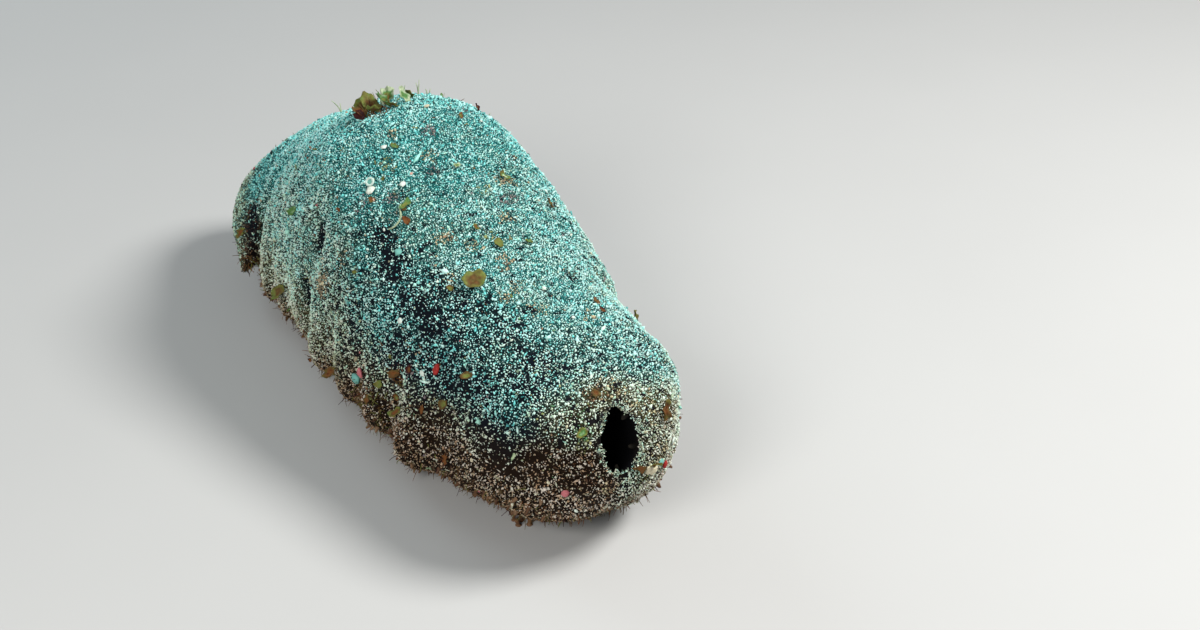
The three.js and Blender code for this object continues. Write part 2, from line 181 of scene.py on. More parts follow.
class BodySettings(bpy.types.PropertyGroup):
    """Skin of the animal."""

    coat_depth: length_setting("Coat depth", "How far the skin lies inside the solids", 0.9)
    lump_height: length_setting("Lump height", "Height of the soft lumps of the back", 0.9)
    wrinkle_height: length_setting("Wrinkle height", "Height of the fine wrinkles", 0.35)
    rings: IntProperty(name="Rings", description="Rings of the skin's mesh along it", default=300, min=200)
    segments: IntProperty(name="Segments", description="Segments of each ring", default=248, min=60)
    bare_skin: tint_setting("Bare skin", "Colour of skin with no sand on it", (0.0025, 0.004, 0.0065))
    # The low skin is brown, and its colour is darkened as painted shade under the body.
    low_skin: tint_setting("Low skin", "Colour of the skin low on the flanks", (0.013, 0.0065, 0.0032))
    # The silt's teal stands partly for the lit water haze between the grains: painted light.
    silt: tint_setting("Silt", "Colour of the fine silt among the grains of the back", (0.013, 0.165, 0.155))
    grey_silt: tint_setting("Grey silt", "Colour of the fine silt round the vent", (0.075, 0.07, 0.026))
    feet: tint_setting("Feet", "Colour of the sole and the tube feet", (0.1, 0.05, 0.028))


class CoatSettings(bpy.types.PropertyGroup):
    """Sand that the skin wears."""

    spacing: length_setting("Grain spacing", "Least distance between main grains", 0.72)
    grain: length_setting("Grain size", "Mean radius of a main grain", 0.335)
    fine_spacing: length_setting("Fine spacing", "Least distance between fine grains", 0.56)
    fine_grain: length_setting("Fine size", "Mean radius of a fine grain", 0.21)
    # The blue-green of the cool sand is painted water light on pale grains.
    cool: tint_setting("Cool sand", "Palest blue-green grains of the back", (0.21, 0.8, 0.765))
    neutral: tint_setting("Neutral sand", "Palest grains round the vent and on the flanks", (0.6, 0.79, 0.57))
    warm: tint_setting("Warm sand", "Palest grains near the sole", (0.5, 0.33, 0.2))
    seed: IntProperty(name="Seed", description="Seed of the grains' places", default=11)


class StageSettings(bpy.types.PropertyGroup):
    """Floor, lights and camera."""

    floor: tint_setting("Floor", "Colour of the floor", (0.48, 0.48, 0.47))
    key_power: power_setting("Key light", "Power of the key light", 15.5)
    fill_power: power_setting("Fill light", "Power of the fill light", 8.0)
    back_power: power_setting("Back light", "Power of the back light", 3.5)
    lens: FloatProperty(name="Lens", description="Focal length in millimetres", default=60.0)


class SeaCucumberSettings(bpy.types.PropertyGroup):
    """Everything a user would change."""

    body: PointerProperty(type=BodySettings)
    coat: PointerProperty(type=CoatSettings)
    stage: PointerProperty(type=StageSettings)


def settings():
    return bpy.context.scene.sea_cucumber


# Number helpers.


def bell(distance, spread):
    return np.exp(-((distance / spread) ** 2))


def ease(x):
    x = np.clip(x, 0, 1)
    return x * x * (3 - 2 * x)


def step_up(value, start, over):
    """0 up to a start, and from there up to 1 over a distance."""
    return ease((value - start) / over)


def step_down(value, end, over):
    """1 that falls to 0 over the distance before an end."""
    return ease((end - value) / over)


def dome(share):
    return (1 - (1 - np.clip(share, 0, 1)) ** DOME_POWER) ** (1 / DOME_POWER)


def turn_from(start, angle):
    return (angle - start + 180) % 360 - 180


def spline(values, share):
    """Smooth curve through evenly spaced values, read at a share of its length."""
    v = np.array([2 * values[0] - values[1], *values, 2 * values[-1] - values[-2]], float)
    last = len(values) - 1
    place = np.clip(share, 0, 1) * last
    i = np.minimum(np.floor(place).astype(int), last - 1)
    u = place - i
    a, b, c, d = v[i], v[i + 1], v[i + 2], v[i + 3]
    return 0.5 * (2 * b + (c - a) * u + (2 * a - 5 * b + 4 * c - d) * u**2 + (3 * b - a - 3 * c + d) * u**3)


def hashed(ix, iy, iz):
    """A fixed pseudo-random number from 0 to 1 for each lattice point."""
    h = (ix * 73856093) ^ (iy * 19349663) ^ (iz * 83492791)
    h = (h ^ (h >> 13)) * 1274126177 & 0x7FFFFFFF
    h = (h ^ (h >> 16)) * 668265263 & 0x7FFFFFFF
    return (h ^ (h >> 15)) / 0x7FFFFFFF


def noise(points, wavelength, seed):
    """Smooth noise from -1 to 1 in space."""
    p = np.asarray(points, float) / wavelength + 17.3 * (seed + 1)
    base = np.floor(p).astype(np.int64)
    f = ease(p - base)
    total = 0
    for corner in itertools.product((0, 1), repeat=3):
        weight = 1
        for axis, far in enumerate(corner):
            weight = weight * (f[..., axis] if far else 1 - f[..., axis])
        total = total + weight * hashed(*(base[..., axis] + far for axis, far in enumerate(corner)))
    return total * 2 - 1


# Fields of noise, as (wavelength in millimetres, seed).
FIELDS = {
    "lumps": (15, 1), "small lumps": (7.5, 2), "wrinkles": (5, 3), "fine wrinkles": (2.6, 4),
    "puckers": (9, 5), "thinning": (11, 21), "fine thinning": (4.5, 22), "pepper": (1.9, 23),
    "silt": (8, 24), "warmth": (17, 31), "fine warmth": (5, 32), "vent edge": (14, 33),
    "spot edge": (2.4, 41), "shade": (9, 51), "fine shade": (3.2, 52), "leaf": (1.4, 61),
}


def field(points, name):
    return noise(points, *FIELDS[name])


# Seeds of the pieces that are placed or shaped at random. The coat's seed is one of its settings.
SEEDS = {
    "tube_feet": 21, "flank_papillae": 22, "vent_teeth": 23, "vent_papillae": 24, "feeding_tentacles": 25,
    "weed_leaves": 31, "weed_tuft": 32, "weed_fuzz": 33, "threads": 34, "seashell_chips": 35,
}


def rng_of(piece):
    return np.random.default_rng(SEEDS[piece])


def full_turn(sides):
    """Even angles round a circle, in radians."""
    return np.arange(sides) / sides * 2 * np.pi


def unit(vectors):
    return vectors / np.maximum(np.linalg.norm(vectors, axis=-1, keepdims=True), 1e-12)


# Body surface.


def make_midline():
    mids = (np.arange(SPINE_STEPS) + 0.5) / SPINE_STEPS
    heading = np.radians(spline(HEADINGS_DEG, mids))
    moves = np.stack([-np.sin(heading), np.cos(heading)], 1) * (BODY_LENGTH / SPINE_STEPS)
    return np.concatenate([[[0, 0]], np.cumsum(moves, axis=0)])


MIDLINE = make_midline()


def station(share):
    """Point on the midline, and the directions forward and to the right there, all on the floor."""
    share = np.asarray(share, float)
    place = np.clip(share, 0, 1) * SPINE_STEPS
    i = np.minimum(np.floor(place).astype(int), SPINE_STEPS - 1)
    u = (place - i)[..., None]
    heading = np.radians(spline(HEADINGS_DEG, share))
    forward = np.stack([-np.sin(heading), np.cos(heading)], -1)
    right = np.stack([np.cos(heading), np.sin(heading)], -1)
    return MIDLINE[i] * (1 - u) + MIDLINE[i + 1] * u, forward, right


def girdle(share):
    hind = np.maximum(0, 1 - share * BODY_LENGTH / VENT_RISE_LENGTH)
    fore = np.clip((share - 0.5) / 0.5, 0, 1)
    climb, drop = VENT_HEIGHT - GIRDLE_HEIGHT, GIRDLE_HEIGHT - SNOUT_HEIGHT
    return GIRDLE_HEIGHT + climb * hind**2 - drop * fore**1.5


def body_profile(share):
    return dome(share * BODY_LENGTH / HIND_DOME) * dome((1 - share) * BODY_LENGTH / FORE_DOME)


def relief(share, angle, crease_spread=CREASE_SPREAD):
    """How far lobes, creases and swells push the wall out, in millimetres."""
    push = 0
    sides = (
        (LEFT_LOBES, LEFT_CREASES, LEFT_MARGIN_DEG, LEFT_MARGIN_DEG - angle),
        (RIGHT_LOBES, RIGHT_CREASES, RIGHT_MARGIN_DEG, turn_from(RIGHT_MARGIN_DEG, angle)),
    )
    for lobes, creases, margin, up in sides:
        lean = LEAN * up
        for along, reach in lobes:
            push = push + reach * bell(share + lean - along, LOBE_SPREAD) * bell(up, LOBE_ANGLE_SPREAD)
        for along, depth, top in creases:
            top_up = abs(turn_from(margin, top))
            over = np.clip((np.abs(up) - top_up) / CREASE_FADE_DEG, -STEEPEST_FADE, STEEPEST_FADE)
            fade = 1 / (1 + np.exp(over))
            push = push - depth * fade * bell(share + lean - along, crease_spread)
    for along, angle_at, height, length, girth in SWELLS:
        push = push + height * bell(share - along, length) * bell(turn_from(angle_at, angle), girth)
    return push


def cross_section(share, angle):
    """Smooth section of the body at a share, as (to the right, height), with no relief and no flat sole."""
    c, s = np.cos(np.radians(angle)), np.sin(np.radians(angle))
    power = np.where(s >= 0, 2 / BACK_POWER, 2 / BELLY_POWER)
    profile, middle = body_profile(share), girdle(share)
    reach = np.where(s >= 0, spline(BACK_HEIGHTS, share) - middle, middle * BELLY_DEPTH)
    side = spline(HALF_WIDTHS, share) * profile * np.sign(c) * np.abs(c) ** power
    return side, middle + reach * profile * np.sign(s) * np.abs(s) ** power


def wall(share, angle):
    """Point of the closed body wall, in the solids' own place before the origin moves."""
    share, angle = np.broadcast_arrays(np.asarray(share, float), np.asarray(angle, float) % 360)
    side, height = cross_section(share, angle)
    push = relief(share, angle) * np.minimum(1, body_profile(share) * POLE_FADE)
    side = side + push * np.cos(np.radians(angle))
    height = height + push * np.sin(np.radians(angle))
    point, _, right = station(share)
    flat = point + right * side[..., None]
    return np.concatenate([flat, np.maximum(FOOT_HEIGHT, height)[..., None]], -1)


def place_in_section(side, height, low, high, fore):
    """Share and angle of the wall's point that a section plane shows at (side, height), searched between two
    shares at the hind end, or at the fore end where fore is true."""
    low, high = np.full(side.shape, float(low)), np.full(side.shape, float(high))
    for _ in range(SEARCH_STEPS):
        share = (low + high) / 2
        profile, middle = np.maximum(body_profile(share), 1e-9), girdle(share)
        up = height >= middle
        power = np.where(up, BACK_POWER, BELLY_POWER)
        reach = np.where(up, spline(BACK_HEIGHTS, share) - middle, middle * BELLY_DEPTH)
        x = np.abs(side) / (spline(HALF_WIDTHS, share) * profile)
        y = np.abs(height - middle) / (reach * profile)
        outside = x**power + y**power > 1
        inward = outside != fore
        low, high = np.where(inward, share, low), np.where(inward, high, share)
    c = np.sign(side) * x ** (power / 2)
    s = np.where(up, 1, -1) * y ** (power / 2)
    return share, np.degrees(np.arctan2(s, c)) % 360


def vent_frame():
    point, forward, right = station(0.0)
    tilt = math.radians(VENT_TILT_DEG)
    across = np.array([*right, 0])
    normal = np.array([*(-forward * math.cos(tilt)), math.sin(tilt)])
    centre = np.array([*(point + right * VENT_OFFSET[0]), VENT_HEIGHT + VENT_OFFSET[1]])
    return centre, normal, across, np.cross(normal, across)


def mouth_frame():
    _, forward, right = station(MOUTH_ALONG)
    dip = math.radians(MOUTH_DIP_DEG)
    across = np.array([*right, 0])
    normal = np.array([*(forward * math.cos(dip)), -math.sin(dip)])
    return wall(MOUTH_ALONG, 270), normal, across, np.cross(across, normal)


VENT = vent_frame()
MOUTH = mouth_frame()


def origin_shift():
    """Where the solids' origin lies, from the box of their own mesh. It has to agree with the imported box."""
    k = np.arange(SOLID_RINGS + 1) / SOLID_RINGS
    near = np.minimum(k, 1 - k)
    scale = 1 / (1 - POLE_SHARE)
    share = np.where(near < POLE_SHARE, near**2 / (2 * POLE_SHARE), near - POLE_SHARE / 2) * scale
    share = np.where(k < 0.5, share, 1 - share)
    turn = full_turn(SOLID_SEGMENTS)
    angle = np.degrees(turn) - FLANK_CROWDING_DEG * np.sin(2 * turn)
    points = wall(share[:, None], angle[None, :]).reshape(-1, 3)
    low, high = points.min(0), points.max(0)
    packed = np.array(CAD_BOX[1] - CAD_BOX[0]) / MM
    if np.abs((high - low)[:2] - packed[:2]).max() > BOX_TOLERANCE:
        raise RuntimeError(f"the body's box {high - low} isn't the packed one {packed}")
    return np.array([*(-(low + high)[:2] / 2), 0])


ORIGIN = origin_shift()


class SkinGrid:
    """Rings of the skin from the floor of the vent to the floor of the mouth, in millimetres."""

    CHAMBER_RINGS = 26
    RIM_RINGS = 34
    SNOUT_RINGS = 46
    RECESS_RINGS = 14
    RIM_SHARE = 0.054
    SNOUT_SHARE = 0.9
    RIM_CROWDING = 1.15
    ROUNDED_BY = 6
    LEVEL_BY = 14
    SOLE_FADE = 8
    WRINKLE_STRETCH = (1, 2.2, 1)
    PUCKER_SPREAD = 0.8
    INNER_DEPTH = 0.25

    # How far in the chamber and the recess run, and their radii there as shares of the opening's.
    CHAMBER_DEPTHS = (0, 1.2, 3.6, 6, 13, 19.5, 24.5, VENT_DEPTH)
    CHAMBER_RADII = (1.11, 1.08, 1.02, 1.02, 1.1, 1.0, 0.6, 0.02)
    RECESS_STEPS = (0, 0.1, 0.55, 1)
    RECESS_DEPTHS = (0, 0.4, MOUTH_DEPTH, MOUTH_DEPTH + 0.2)
    RECESS_RADII = (1.0, 0.98, 0.94, 0.02)

    def __init__(self, rings, segments, depth, lump, wrinkle):
        turn = full_turn(segments)
        self.angle = (np.degrees(turn) - FLANK_CROWDING_DEG * np.sin(2 * turn)) % 360
        self.radians = np.radians(self.angle)
        share_of_rim = self.vent_rim()
        side, height = VENT_WIDTH / 2 * share_of_rim, VENT_TALL / 2 * share_of_rim
        hind = self.rim_rings(self.RIM_RINGS, self.RIM_SHARE, VENT[0], side, height, False)
        middle = rings - self.RIM_RINGS - self.SNOUT_RINGS - self.CHAMBER_RINGS - self.RECESS_RINGS
        share = np.linspace(self.RIM_SHARE, self.SNOUT_SHARE, middle)[1:-1, None] + 0 * self.angle
        body = (share, self.angle + 0 * share)
        dip = math.cos(math.radians(MOUTH_DIP_DEG))
        fore = self.rim_rings(
            self.SNOUT_RINGS, self.SNOUT_SHARE, MOUTH[0], MOUTH_RADIUS, MOUTH_RADIUS * dip, True
        )
        self.share = np.concatenate([hind[0], body[0], fore[0]])
        self.around = np.concatenate([hind[1], body[1], fore[1]])
        outside = wall(self.share, self.around)
        self.first, self.last = self.CHAMBER_RINGS, self.CHAMBER_RINGS + len(outside)
        chamber = self.hollow(outside[0], VENT, self.vent_hollow())
        recess = self.hollow(outside[-1], MOUTH, self.mouth_hollow())
        self.points = np.concatenate([chamber[::-1], outside, recess])
        self.share = self.padded(self.share, len(chamber), len(recess))
        self.around = self.padded(self.around, len(chamber), len(recess))
        self.inside = np.zeros(len(self.points))
        self.inside[: self.first] = np.linspace(1, 0, self.first)
        self.inside[self.last :] = np.linspace(0, 1, len(self.points) - self.last)
        self.normals = self.find_normals()
        self.shape_surface(depth, lump, wrinkle)
        self.points += ORIGIN
        self.normals = self.find_normals()

    @staticmethod
    def padded(values, before, after):
        return np.concatenate([np.repeat(values[:1], before, 0), values, np.repeat(values[-1:], after, 0)])

    def vent_rim(self):
        """Radius of the vent's soft rim, as shares of its oval: wider above and a little ragged."""
        a = self.radians
        rim = 1.08 + 0.02 * np.sin(a) + 0.02 * np.sin(5 * a + 0.6)
        return rim + 0.015 * np.sin(8 * a + 2) + 0.045 * np.cos(2 * a)

    def rim_rings(self, count, far_share, centre, half_across, half_up, fore):
        """Rings that turn from the oval of an opening into a plain section of the body, lying on the wall."""
        a = self.radians
        pole, _, right = station(1.0 if fore else 0.0)
        off_side = 0.0 if fore else float(np.dot(centre[:2] - pole, right))
        oval = off_side + half_across * np.cos(a), centre[2] + half_up * np.sin(a)
        far = cross_section(far_share, self.angle)
        w = (np.arange(count) / (count - 1))[:, None] ** self.RIM_CROWDING
        side, height = oval[0] * (1 - w) + far[0] * w, oval[1] * (1 - w) + far[1] * w
        if fore:
            share, around = place_in_section(side, height, far_share, 1.0, True)
            share, around = share[::-1], around[::-1]
        else:
            share, around = place_in_section(side, height, 0.0, far_share, False)
        return share, around

    def hollow(self, rim, place, profile):
        """Rings that run inward from the rim of an opening, along (depth, half across, half up) steps."""
        centre, normal, across, up = place
        a = self.radians
        offset = rim - centre
        u0, v0, n0 = offset @ across, offset @ up, offset @ normal
        depth0 = profile[0][0]
        rings = []
        for depth, half_across, half_up in profile[1:]:
            w = ease(np.array((depth - depth0) / self.ROUNDED_BY))
            u = (1 - w) * u0 * (half_across / profile[0][1]) + w * half_across * np.cos(a)
            v = (1 - w) * v0 * (half_up / profile[0][2]) + w * half_up * np.sin(a)
            n = n0 * (1 - ease(np.array(depth / self.LEVEL_BY))) - depth
            rings.append(centre + u[:, None] * across + v[:, None] * up + n[:, None] * normal)
        return np.array(rings)

    def vent_hollow(self):
        depths = np.linspace(0, VENT_DEPTH, self.CHAMBER_RINGS + 1)
        radius = np.interp(depths, self.CHAMBER_DEPTHS, self.CHAMBER_RADII)
        return [(d, r * VENT_WIDTH / 2, r * VENT_TALL / 2) for d, r in zip(depths, radius)]

    def mouth_hollow(self):
        steps = np.linspace(0, 1, self.RECESS_RINGS + 1)
        depths = np.interp(steps, self.RECESS_STEPS, self.RECESS_DEPTHS)
        radius = np.interp(steps, self.RECESS_STEPS, self.RECESS_RADII) * MOUTH_RADIUS
        return [(d, r, r) for d, r in zip(depths, radius)]

    def find_normals(self):
        p = self.points
        along = np.gradient(p, axis=0)
        round_ = np.roll(p, -1, axis=1) - np.roll(p, 1, axis=1)
        return unit(np.cross(along, round_))

    def shape_surface(self, depth, lump, wrinkle):
        """Sinks the skin by the coat's depth and gives it lumps, wrinkles, slits and puckers."""
        p = self.points
        open_skin = 1 - ease(self.inside * 6)[:, None]
        raised = np.clip((p[..., 2] - FOOT_HEIGHT) / self.SOLE_FADE, 0, 1)
        bumps = lump * (0.6 * field(p, "lumps") + 0.45 * field(p, "small lumps"))
        stretched = p * self.WRINKLE_STRETCH
        bumps += wrinkle * (field(stretched, "wrinkles") + 0.7 * field(stretched, "fine wrinkles"))
        vent_near = bell(np.maximum(self.oval_distance(p) - 1, 0), self.PUCKER_SPREAD)
        centre, _, across, up = VENT
        turn = np.arctan2((p - centre) @ up, (p - centre) @ across)
        puckers = 0.3 * np.sin(turn * 5 + 0.6) + 0.2 * np.sin(turn * 17 + 2 * field(p, "puckers"))
        bumps += vent_near * (puckers + 0.3) * (1 - self.inside[:, None])
        for along, at, deep, length, girth in DIMPLES:
            bumps -= deep * bell(self.share - along, length) * bell(turn_from(at, self.around), girth)
        sunk = depth * (0.3 + 0.7 * raised)
        push = (bumps * (0.15 + 0.85 * raised) - sunk) * open_skin - self.INNER_DEPTH * (1 - open_skin)
        self.points = p + self.normals * push[..., None]
        self.points[..., 2] = np.maximum(self.points[..., 2], FOOT_HEIGHT)

    @staticmethod
    def oval_distance(points):
        """Distance from the vent's axis, as a share of its oval."""
        centre, _, across, up = VENT
        offset = points - centre
        return np.hypot(offset @ across / (VENT_WIDTH / 2), offset @ up / (VENT_TALL / 2))

    def at(self, ring, segment):
        """Points and normals at fractional rings and segments, with the share and angle there."""
        i = np.clip(np.floor(ring).astype(int), 0, len(self.points) - 2)
        j = np.floor(segment).astype(int)
        u, v = (ring - i)[:, None], (segment - j)[:, None]
        j0, j1 = j % self.points.shape[1], (j + 1) % self.points.shape[1]

        def mix(values):
            low = values[i, j0] * (1 - v) + values[i, j1] * v
            high = values[i + 1, j0] * (1 - v) + values[i + 1, j1] * v
            return low * (1 - u) + high * u

        angle = self.around[i, j0] + turn_from(self.around[i, j0], self.around[i, j1]) * v[:, 0]
        share = mix(self.share[..., None])[:, 0]
        return mix(self.points), unit(mix(self.normals)), share, angle % 360

    def seat(self, share, angle):
        """Nearest point of the skin to a share and angle of the body: its place, its normal and the direction
        there towards the fore end."""
        target = wall(share, angle) + ORIGIN
        outside = self.points[self.first : self.last]
        nearest = np.argmin(((outside - target) ** 2).sum(-1))
        i, j = divmod(int(nearest), outside.shape[1])
        i += self.first
        forward = unit(self.points[i + 1, j] - self.points[i - 1, j])
        return self.points[i, j], self.normals[i, j], forward


# Where the sand is thin, as (share along, angle, spread along, spread round, strength).
# The patches near 0.92 and 0.95 along bare the black skin in the crease behind the head: painted shadow of
# that crease.
BARE_PATCHES = (
    (0.394, 134, 0.032, 11, 1.05), (0.43, 130, 0.028, 11, 0.9), (0.465, 134, 0.022, 9, 0.6),
    (0.498, 131, 0.02, 9, 0.55), (0.35, 140, 0.03, 10, 0.65), (0.31, 140, 0.03, 11, 0.65),
    (0.281, 140.5, 0.034, 12, 1.0), (0.238, 145, 0.03, 11, 0.65), (0.196, 160, 0.03, 13, 0.6),
    (0.15, 172, 0.035, 13, 0.6), (0.106, 184, 0.045, 16, 0.9), (0.06, 178, 0.03, 16, 0.55),
    (0.196, 186, 0.03, 11, 0.45), (0.537, 155, 0.008, 7, 1.6), (0.576, 181, 0.008, 8, 1.4),
    (0.739, 171, 0.007, 6, 1.2), (0.92, 164, 0.026, 26, 1.2), (0.95, 166, 0.02, 20, 0.75),
    (0.922, 190, 0.02, 12, 0.8), (0.6, 186, 0.012, 12, 0.5), (0.345, 196, 0.012, 14, 0.7),
    (0.43, 196, 0.012, 14, 0.6), (0.507, 190, 0.012, 12, 0.5), (0.323, 105, 0.012, 7, 0.4),
    (0.37, 97, 0.014, 6, 0.4), (0.6, 110, 0.02, 8, 0.3), (0.36, 28, 0.03, 11, 0.6),
    (0.44, 18, 0.03, 12, 0.6), (0.6, 40, 0.02, 9, 0.45), (0.72, 22, 0.03, 12, 0.55),
    (0.14, 352, 0.03, 12, 0.5), (0.66, 352, 0.01, 10, 0.8), (0.82, 20, 0.01, 10, 0.8),
    (0.9, 110, 0.02, 16, 0.35),
)

# Edges of the coat's zones, as (start of a rise or end of a fall, its length), in shares along the body,
# degrees round it, shares of the vent's oval or millimetres of height.
LEFT_FROM_BACK, LEFT_TO_BELLY = (86, 14), (275, 35)
LOW_FLANK_FROM, HIND_HALF_TO = (160, 22), (0.42, 0.1)
FORE_FROM = (0.4, 0.1)
FLANK_FROM = (60, 40)
VENT_RIM_FROM = (1.02, 0.4)
FLOOR_SAND_FROM = (6, 22)
HEAD_FROM = (0.93, 0.05)
RIGHT_TO = (72, 50)
FORE_FLANK_TO = (62, 30)
PEPPER_FROM = (0.28, 0.35)

# The sand's most and least cover, and how much of it each of these takes away.
MOST_COVER, LEAST_COVER = 0.97, 0.08
THINNING = {
    "flank": 0.12, "left": 0.1, "fore": 0.18, "patch": 0.58, "ragged": 0.25, "pepper": 0.6, "floor": 0.15,
}
VENT_COVER = 0.45
VENT_COVER_END = 0.1

# How much warmth each of these adds to the sand or takes from it.
WARMING = {
    "near": 0.16, "vent": 0.42, "low": 0.6, "left": 0.44, "right": 0.16, "fore flank": 0.16,
    "low flank": 0.12,
}
BACK_COOLING = 0.05
FORE_COOLING = 0.17
HEAD_WARMTH = 0.4


def on_left(angle):
    """1 on the left side of the body and 0 on the right, with a soft edge along the back and the belly."""
    return step_up(angle, *LEFT_FROM_BACK) * step_down(angle, *LEFT_TO_BELLY)


def low_hind_flank(share, angle):
    """1 on the lower left flank of the hind half, which is browner and darker."""
    return step_up(angle, *LOW_FLANK_FROM) * on_left(angle) * (1 - step_up(share, *HIND_HALF_TO))


def bare_patches(share, angle, ragged):
    """How bare the skin is in its patches, with ragged edges: 0 under full sand, and 1 or more where bare."""
    thin = np.zeros(share.shape)
    for along, at, length, girth, strength in BARE_PATCHES:
        thin = np.maximum(thin, strength * bell(share - along, length) * bell(turn_from(at, angle), girth))
    return ease((thin + 0.3 * ragged - 0.14) / 0.8) * np.maximum(1, thin)


def sand_cover(share, angle, points):
    """How closely the sand covers the skin, from 0 to 1."""
    ragged = 0.5 * field(points, "thinning") + 0.5 * field(points, "fine thinning")
    flank = step_up(np.abs(turn_from(85, angle)), *FLANK_FROM)
    fore = step_up(share, *FORE_FROM)
    left = on_left(angle) * (THINNING["left"] - THINNING["fore"] * fore)
    cover = MOST_COVER - (THINNING["flank"] + left) * flank
    cover = cover - THINNING["patch"] * bare_patches(share, angle, ragged)
    cover = cover - THINNING["ragged"] * np.maximum(0, ragged - 0.15) * (1 - 0.6 * fore)
    pepper = step_up(field(points, "pepper"), *PEPPER_FROM)
    cover = cover * (1 - (THINNING["pepper"] - 0.3 * fore) * pepper)
    off_rim = step_up(SkinGrid.oval_distance(points - ORIGIN), *VENT_RIM_FROM)
    vent_cover = VENT_COVER + (1 - VENT_COVER) * off_rim
    cover = np.where(share < VENT_COVER_END, cover * vent_cover, cover)
    cover = cover - THINNING["floor"] * (1 - step_up(points[..., 2], *FLOOR_SAND_FROM))
    return np.clip(cover, LEAST_COVER, 1)


def sand_warmth(share, angle, points):
    """0 for painted blue-green water light, as on the back, to 0.5 at the vent and 1 low on the flanks."""
    height, left_side, fore = points[..., 2], on_left(angle), step_up(share, *FORE_FROM)
    vent = 1 - ease((share - 0.035 + 0.012 * field(points, "vent edge")) / 0.06)
    low = 1 - ease((height - 4 - 11 * (1 - step_up(share, 0.18, 0.2)) * left_side) / 48)
    left = step_up(angle, 152 - 34 * fore, 40) * left_side
    right = step_down(np.abs(turn_from(-10, angle)), *RIGHT_TO)
    # The near part is warmer and the far part bluer: painted water light, bluer with distance.
    warmth = WARMING["near"] * (1 - step_up(share, 0.3, 0.35)) - BACK_COOLING
    warmth = warmth + WARMING["vent"] * vent + WARMING["low"] * low**1.3
    warmth = warmth + (WARMING["left"] - FORE_COOLING * fore) * left + WARMING["right"] * right
    warmth = warmth + WARMING["fore flank"] * fore * left_side * step_down(height, *FORE_FLANK_TO)
    warmth = warmth + WARMING["low flank"] * low_hind_flank(share, angle)
    head = step_up(share, *HEAD_FROM)
    warmth = warmth * (1 - head) + HEAD_WARMTH * head
    warmth = warmth + 0.1 * field(points, "warmth") + 0.07 * field(points, "fine warmth")
    return np.clip(warmth, 0, 1)


def silt_depth(share, angle, points):
    """How much fine silt fills the gaps between the grains: most on the back and right side, least in the
    dark band on the left of the hind half."""
    middle = step_up(angle, 90, 42) * (angle < 270)
    far = ease((share - 0.02 - 0.28 * middle) / 0.2)
    up = 1 - step_up(np.abs(turn_from(60, angle)), 70, 40)
    fore_left = 0.6 * step_up(share, 0.43, 0.1) * step_up(angle, 110, 20) * on_left(angle)
    offset = points - ORIGIN - VENT[0]
    beside_vent = np.maximum(step_up(offset[..., 2], 2, 14), step_up(offset[..., 0], 2, 10))
    vent = 0.75 * (1 - step_up(share, 0.04, 0.06)) * beside_vent
    # The silt's teal lifts the gaps most on the back and the right side, where the lights fall: partly real
    # silt, partly painted light.
    silt = 0.1 + np.maximum(0.9 * far * up, fore_left) + vent + 0.25 * field(points, "silt")
    return np.clip(silt, 0, 1)


# How much lighter or darker the grains are in each zone: painted light and shade, with the near part,
# the fore left flank, the back and the hind back painted lit, and the head, the low band and the low hind
# flank painted in shade.
PAINTED_LIGHT_BY_ZONE = {
    "near": 0.26, "fore left": 0.15, "back": 0.12, "head": -0.24, "low": -0.5, "hind back": 0.1,
    "low hind flank": -0.12,
}
PATCHY_SHADE = 0.12


def grain_tone_and_painted_light(share, angle, points):
    """Painted light and shade of each zone, and the sand's own patchy tone, that lighten or darken the grains.
    """
    zones = {
        "near": 1 - step_up(share, 0.3, 0.25),
        "fore left": step_up(share, 0.42, 0.08) * step_up(angle, 120, 25) * on_left(angle),
        "back": step_up(share, 0.3, 0.2) * step_down(np.abs(turn_from(90, angle)), 70, 40),
        "head": step_up(share, 0.86, 0.06) * on_left(angle),
        "low": 1 - step_up(points[:, 2], 3, 26),
        "hind back": step_down(share, 0.42, 0.1) * step_down(angle, 130, 20) * step_up(angle, 20, 30),
        "low hind flank": low_hind_flank(share, angle),
    }
    patches = PATCHY_SHADE * (field(points, "shade") + field(points, "fine shade"))
    return patches + sum(PAINTED_LIGHT_BY_ZONE[zone] * amount for zone, amount in zones.items())


# Tints of the odd grains, as places on one colour ramp.
DARK_RUST, RUST, OCHRE, TAN, OLIVE, MAUVE, GREEN = 0.04, 0.1, 0.22, 0.3, 0.5, 0.7, 0.95
LEAST_TINT = 0.02
ODD_SHARE = 0.014
BROWN_SHARE = 0.12
MOST_BROWN = 0.35

